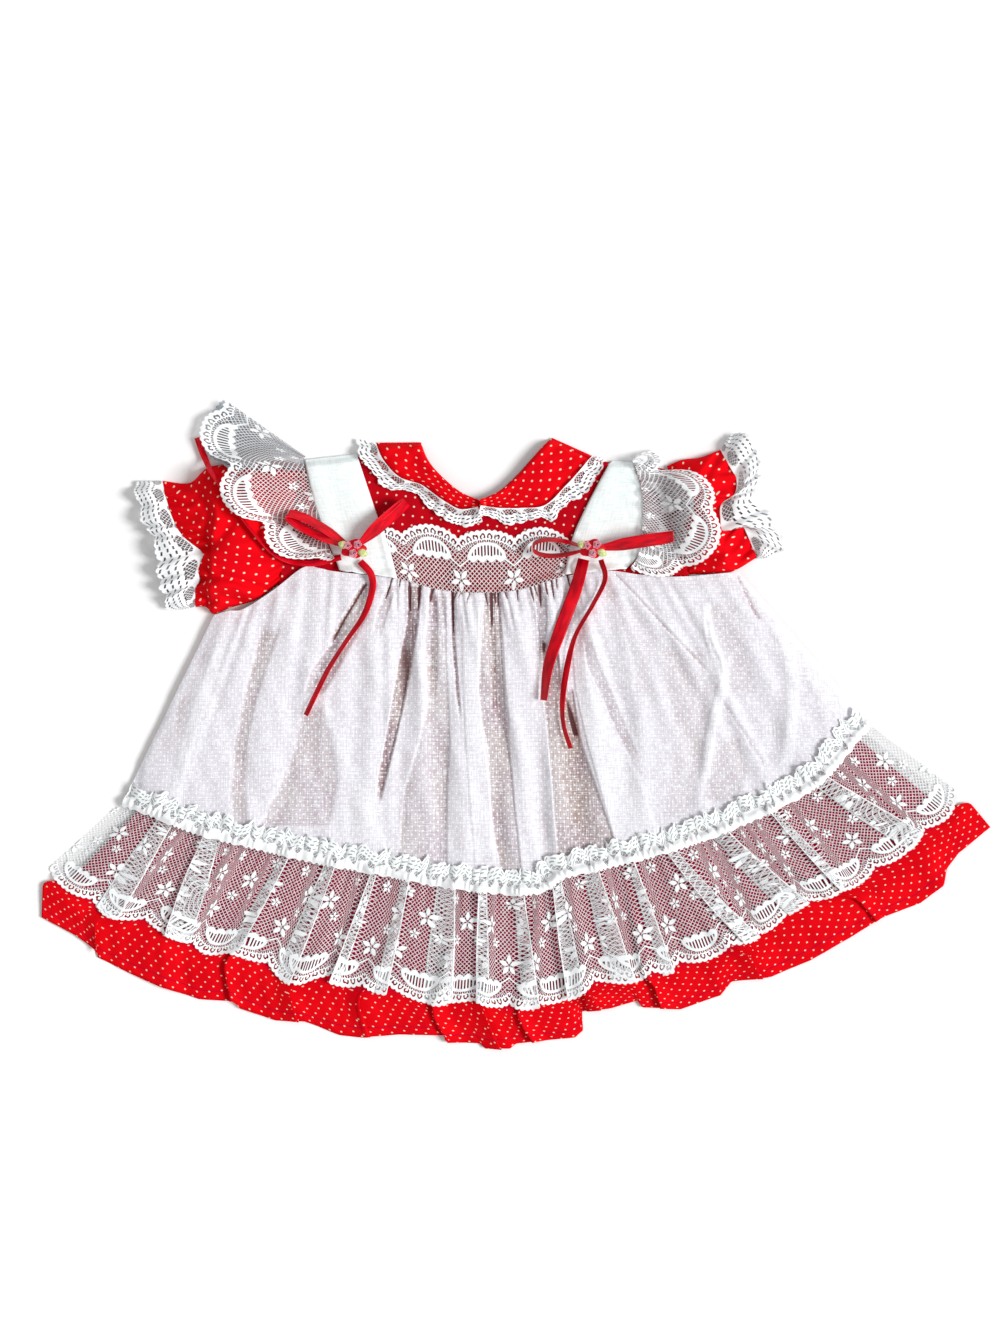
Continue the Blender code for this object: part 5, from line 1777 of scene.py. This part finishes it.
@dataclass
class Bow:
    """A ribbon bow: knot, two loops, and the rosebuds on it."""

    tailor: Tailor
    side: Side
    satin: Satin = field(default_factory=Satin)
    pink: Plain = field(
        default_factory=lambda: Plain("pink_rosebud", "rose_pink", (0.86, 0.22, 0.34), (0.93, 0.62, 0.68), 0.35)
    )
    green: Plain = field(
        default_factory=lambda: Plain("green_leaf", "leaf_green", (0.42, 0.55, 0.16), (0.75, 0.75, 0.38), 0.4)
    )

    def base(self) -> float:
        """Height of what the knot sits on."""
        return float(self.tailor.pile.at(np.array([BOW_KNOTS[self.side]]), 3, 1)[0])

    def ribbon(self, name: str, spine: Array, across: Array, nodes: list[str]) -> bpy.types.Object:
        """A strip whose middle and half widths are given point by point."""
        share = np.linspace(-1, 1, 9)[:, None, None]
        points = spine[None] + across[None] * share
        length = flat_length(spine[None])[0]
        flat = np.stack(np.broadcast_arrays(length[None, :], share[..., 0] * 3.5), axis=-1)
        return self.tailor.piece(name, points, flat, self.satin, nodes, wall=0.25)

    def loop(self, which: Side, tip: tuple[float, float], lean: float, open_by: float) -> None:
        """A loop: out to the tip, round it and back, its two runs apart by an opening and both on edge.

        Args:
            which: The side of the knot that it is on.
            tip: Its tip.
            lean: How far the ribbon stands on its edge, in radians.
            open_by: Half the opening between its two runs, in millimetres.
        """
        knot = np.array(BOW_KNOTS[self.side], dtype=float)
        toward = np.array(tip) - knot
        length = float(np.linalg.norm(toward))
        toward /= length
        aside = np.array((-toward[1], toward[0]))
        turn = np.linspace(0, TAU, 96)
        out = (1 - np.cos(turn)) / 2
        reach = length * out + 1.6 * (1 - out)
        swing = open_by * np.sin(turn) * out**0.5 * 1.3
        places = knot + toward * reach[:, None] + aside * swing[:, None]
        ground = self.tailor.pile.at(places, 4, 2)
        upper = 0.5 + 0.5 * np.cos(turn / 2)
        half = 3.3 * (0.42 + 0.58 * smooth(out, 0.0, 0.4))
        stand = half * math.sin(lean)
        rise = ground + 0.6 + stand + 2.2 * np.sin(math.pi * out) * (0.3 + 0.7 * upper) + 1.4 * upper
        rise = np.convolve(np.pad(rise, 5, mode="edge"), np.ones(11) / 11, mode="valid")
        rise = np.maximum(rise, ground + 0.4 + stand)
        spine = np.column_stack([places, rise])
        flat_way = np.append(aside, 0.0)
        up_way = np.array((0.0, 0.0, 1.0))
        across = (flat_way * math.cos(lean) + up_way * math.sin(lean)) * half[:, None]
        name = f"bow_loop_{self.side.value}_{which.value}"
        self.ribbon(f"{name}_ribbon", spine, across, [name])

    def tail(self, name: str, route: Table, width: float, shown: Sequence[float]) -> None:
        """A free end: the route laid on what is under it, turned on its edge where less of its width shows.

        Args:
            name: Name of its node.
            route: Its line.
            width: Width of the ribbon in millimetres.
            shown: Shares of the width that show from above, from the knot to the end.
        """
        line = Line(route)
        share = np.linspace(0, 1, 160)
        places = line.at(share)
        ahead = np.gradient(places, axis=0)
        ahead /= np.linalg.norm(ahead, axis=1)[:, None]
        aside = np.column_stack([-ahead[:, 1], ahead[:, 0]])
        seen = np.interp(share, np.linspace(0, 1, len(shown)), shown)
        seen = np.convolve(np.pad(seen, 8, mode="edge"), np.ones(17) / 17, mode="valid")
        stand = np.sqrt(1 - seen**2)
        across = np.linspace(-1, 1, 9)[:, None]
        half = width / 2 - 0.25
        rows = places[None] + aside[None] * (across * half * seen[None])[..., None]
        ground = self.tailor.pile.at(rows, 2, 3).max(axis=0)
        bare = self.tailor.pile.at(rows, 1, 0).max(axis=0) + 0.6
        ground = np.convolve(np.pad(ground, 4, mode="edge"), np.ones(9) / 9, mode="valid") + 0.9
        middle = np.maximum(ground, bare) + half * stand
        height = middle[None] + across * half * stand[None] + 0.35 * (1 - across**2) * seen[None]
        points = np.concatenate([rows, height[..., None]], axis=-1)
        flat = np.stack(np.broadcast_arrays((share * line.length)[None], across * 3.5), axis=-1)
        made = self.tailor.piece(f"{name}_ribbon", points, flat, self.satin, [name], wall=0.25)

    def knot(self) -> None:
        """The knot: a band of satin wrapped round the middle."""
        centre = np.array((*BOW_KNOTS[self.side], self.base() + 1.0))
        around, down = np.meshgrid(np.linspace(0, TAU, 40, endpoint=False), np.linspace(0, math.pi, 20), indexing="ij")
        pinch = 1 + 0.10 * np.cos(5 * around)
        x = 6.2 * np.sin(down) * np.cos(around) * pinch
        y = 4.6 * np.sin(down) * np.sin(around) * pinch
        z = 2.0 * np.cos(down)
        points = np.stack([x, y, z], axis=-1) + centre
        points = points.transpose(1, 0, 2)
        turn = np.linspace(0, TAU, 41)
        flat = np.stack(np.meshgrid(turn * 3, down[0] * 3), axis=-1)
        name = f"bow_knot_{self.side.value}"
        self.tailor.piece(f"{name}_satin", points, flat, self.satin, [name], closed=True)

    def rosebuds(self) -> None:
        """Three wound rosebuds sunk a little into the knot: a cup whose radius swells in a spiral of turns."""
        knot = np.array(BOW_KNOTS[self.side])
        base = self.base() - 0.5
        spots = ((-2.7, 1.3), (2.5, 1.9), (0.2, -2.3))
        turns = np.linspace(0, 1, 70)[:, None]
        rise = np.linspace(0, 1, 12)[None, :]
        parts = []
        for index, (x, y) in enumerate(spots):
            angle = TAU * 2.6 * turns + index
            radius = 0.3 + 1.75 * turns + 0.2 * np.cos(5 * angle)
            height = (2.6 - 1.5 * turns) * np.sin(math.pi / 2 * rise)
            flare = 1 - 0.25 * (1 - rise) + 0.12 * rise**3
            parts.append(np.stack([
                knot[0] + x + radius * flare * np.cos(angle),
                knot[1] + y + radius * flare * np.sin(angle),
                base + height,
            ], axis=-1))
        for index, points in enumerate(parts):
            flat = np.stack(np.broadcast_arrays(turns * 20, rise * 3), axis=-1)
            nodes = [f"rosebud_{self.side.value}"]
            self.tailor.piece(f"rosebud_{self.side.value}_{index + 1}_wound", points, flat, self.pink, nodes,
                              wall=0.3, laid=False)

    def leaves(self) -> None:
        """Two folded leaves of pale green ribbon, from under the rosebuds out over the knot."""
        knot = np.array(BOW_KNOTS[self.side])
        base = self.base() - 0.3
        for which, degrees in ((Side.LEFT, 160.0), (Side.RIGHT, 335.0)):
            angle = math.radians(degrees)
            toward = np.array((math.cos(angle), math.sin(angle)))
            aside = np.array((-toward[1], toward[0]))
            across, along = grid(9, 24)
            half = 1.9 * np.sin(math.pi * np.clip(along * 0.92 + 0.06, 0, 1)) ** 0.7
            offset = (2 * across - 1) * half
            places = knot + toward * (2.8 + along[..., None] * 5.0) + aside * offset[..., None]
            height = base + 0.9 * np.sin(math.pi * along) - 0.6 * np.abs(2 * across - 1) + 0.3
            points = np.concatenate([places, height[..., None]], axis=-1)
            flat = np.stack([along * 6.5, across * 4], axis=-1)
            name = f"leaf_{self.side.value}_{which.value}"
            self.tailor.piece(f"{name}_fold", points, flat, self.green, [name], wall=0.25, laid=False)


@dataclass
class Studio:
    """Pale floor, soft light from the right and a camera straight above."""

    centre: tuple[float, float] = (-8.0, 28.25)
    distance: float = 1250.0
    frame_height: float = 666.5

    def floor(self) -> None:
        """A large pale plane."""
        mesh = bpy.data.meshes.new("floor")
        size = 3.0
        corners = [(-size, -size, 0), (size, -size, 0), (size, size, 0), (-size, size, 0)]
        mesh.from_pydata(corners, [], [(0, 1, 2, 3)])
        floor = bpy.data.objects.new("floor", mesh)
        bpy.context.scene.collection.objects.link(floor)
        shade = Shading("pale_floor")
        shade.put("Base Color", (0.93, 0.93, 0.93))
        shade.put("Roughness", 0.9)
        shade.put("Specular IOR Level", 0.1)
        mesh.materials.append(shade.material)

    def light(self) -> None:
        """A wide soft light low on the right, and a pale sky."""
        lamp = bpy.data.lights.new("low_right", "SUN")
        lamp.energy = 3.0
        lamp.angle = 0.40
        made = bpy.data.objects.new("low_right", lamp)
        made.rotation_mode = "QUATERNION"
        made.rotation_quaternion = Vector((-0.9, 0.12, -0.8)).to_track_quat("-Z", "Y")
        bpy.context.scene.collection.objects.link(made)
        world = bpy.data.worlds.new("pale_sky")
        world.use_nodes = True
        background = world.node_tree.nodes["Background"]
        background.inputs[0].default_value = (1.0, 1.0, 1.0, 1.0)
        background.inputs[1].default_value = 0.52
        bpy.context.scene.world = world
        bpy.context.scene.view_settings.view_transform = "Standard"

    def camera(self) -> None:
        """A long lens straight above the middle of the picture."""
        lens = bpy.data.cameras.new("camera")
        lens.sensor_fit = "VERTICAL"
        lens.sensor_height = 36.0
        lens.lens = 36.0 * self.distance / self.frame_height
        made = bpy.data.objects.new("camera", lens)
        made.location = (self.centre[0] * MM, self.centre[1] * MM, self.distance * MM)
        bpy.context.scene.collection.objects.link(made)
        bpy.context.scene.camera = made

    def build(self) -> None:
        """Sets the stage."""
        self.camera()
        self.floor()
        self.light()


@dataclass
class Dress:
    """The whole dress, laid down from the surface up."""

    tailor: Tailor = field(default_factory=Tailor)

    def build(self) -> None:
        """Builds every piece in the order that it is laid."""
        pinafore = Pinafore(self.tailor)
        hem = HemLace(self.tailor)
        skirt = Skirt(self.tailor)
        pinafore.back()
        hem.back()
        skirt.back()
        skirt.front()
        pinafore.front()
        hem.ruffle()
        hem.heading()
        Bodice(self.tailor).build()
        YokeLace(self.tailor).build()
        sleeves = {side: Sleeve(self.tailor, side) for side in Side}
        for sleeve in sleeves.values():
            sleeve.cloth()
            sleeve.lace()
        sets = {side: StrapSet(self.tailor, side) for side in Side}
        for strap_set in sets.values():
            strap_set.strap()
        for side in Side:
            collar = Collar(self.tailor, side)
            collar.cloth()
        for side in Side:
            Collar(self.tailor, side).lace()
        left, right = Bow(self.tailor, Side.LEFT), Bow(self.tailor, Side.RIGHT)
        left.tail("ribbon_tail_left_up", TAIL_LEFT_UP, 4.0, (0.9, 0.95, 0.8, 0.3, 0.25, 0.25, 0.8, 0.85))
        for strap_set in sets.values():
            strap_set.wing_under()
            strap_set.wing()
        left.tail("ribbon_tail_left_down", TAIL_LEFT_DOWN, 4.0, (1.0, 1.0, 0.9, 0.7, 0.6, 0.7, 0.75, 0.7))
        right.tail("ribbon_tail_right_wide", TAIL_RIGHT_WIDE, 7.0, (0.85, 1.0, 1.0, 0.8, 0.45))
        right.tail(
            "ribbon_tail_right_curled", TAIL_RIGHT_CURLED, 4.0, (0.7, 0.6, 0.5, 0.55, 0.9, 0.8, 0.5, 0.6),
        )
        left.loop(Side.LEFT, (-113, 103.5), 0.85, 2.5)
        left.loop(Side.RIGHT, (-54.5, 110), 0.85, 1.0)
        right.loop(Side.LEFT, (8, 87.5), 1.2, 4.2)
        right.loop(Side.RIGHT, (77.5, 92.5), 0.75, 0.5)
        for bow in (left, right):
            bow.knot()
            bow.rosebuds()
            bow.leaves()


def corners(box: Sequence[Sequence[float]]) -> list[list[float]]:
    """A box as plain lists."""
    return [[float(value) for value in corner] for corner in box]


def main() -> None:
    """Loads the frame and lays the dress."""
    logging.basicConfig(level=logging.INFO, format="%(name)s: %(message)s")
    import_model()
    Studio().build()
    Dress().build()
    bpy.context.view_layer.update()


if __name__ == "__main__":
    main()
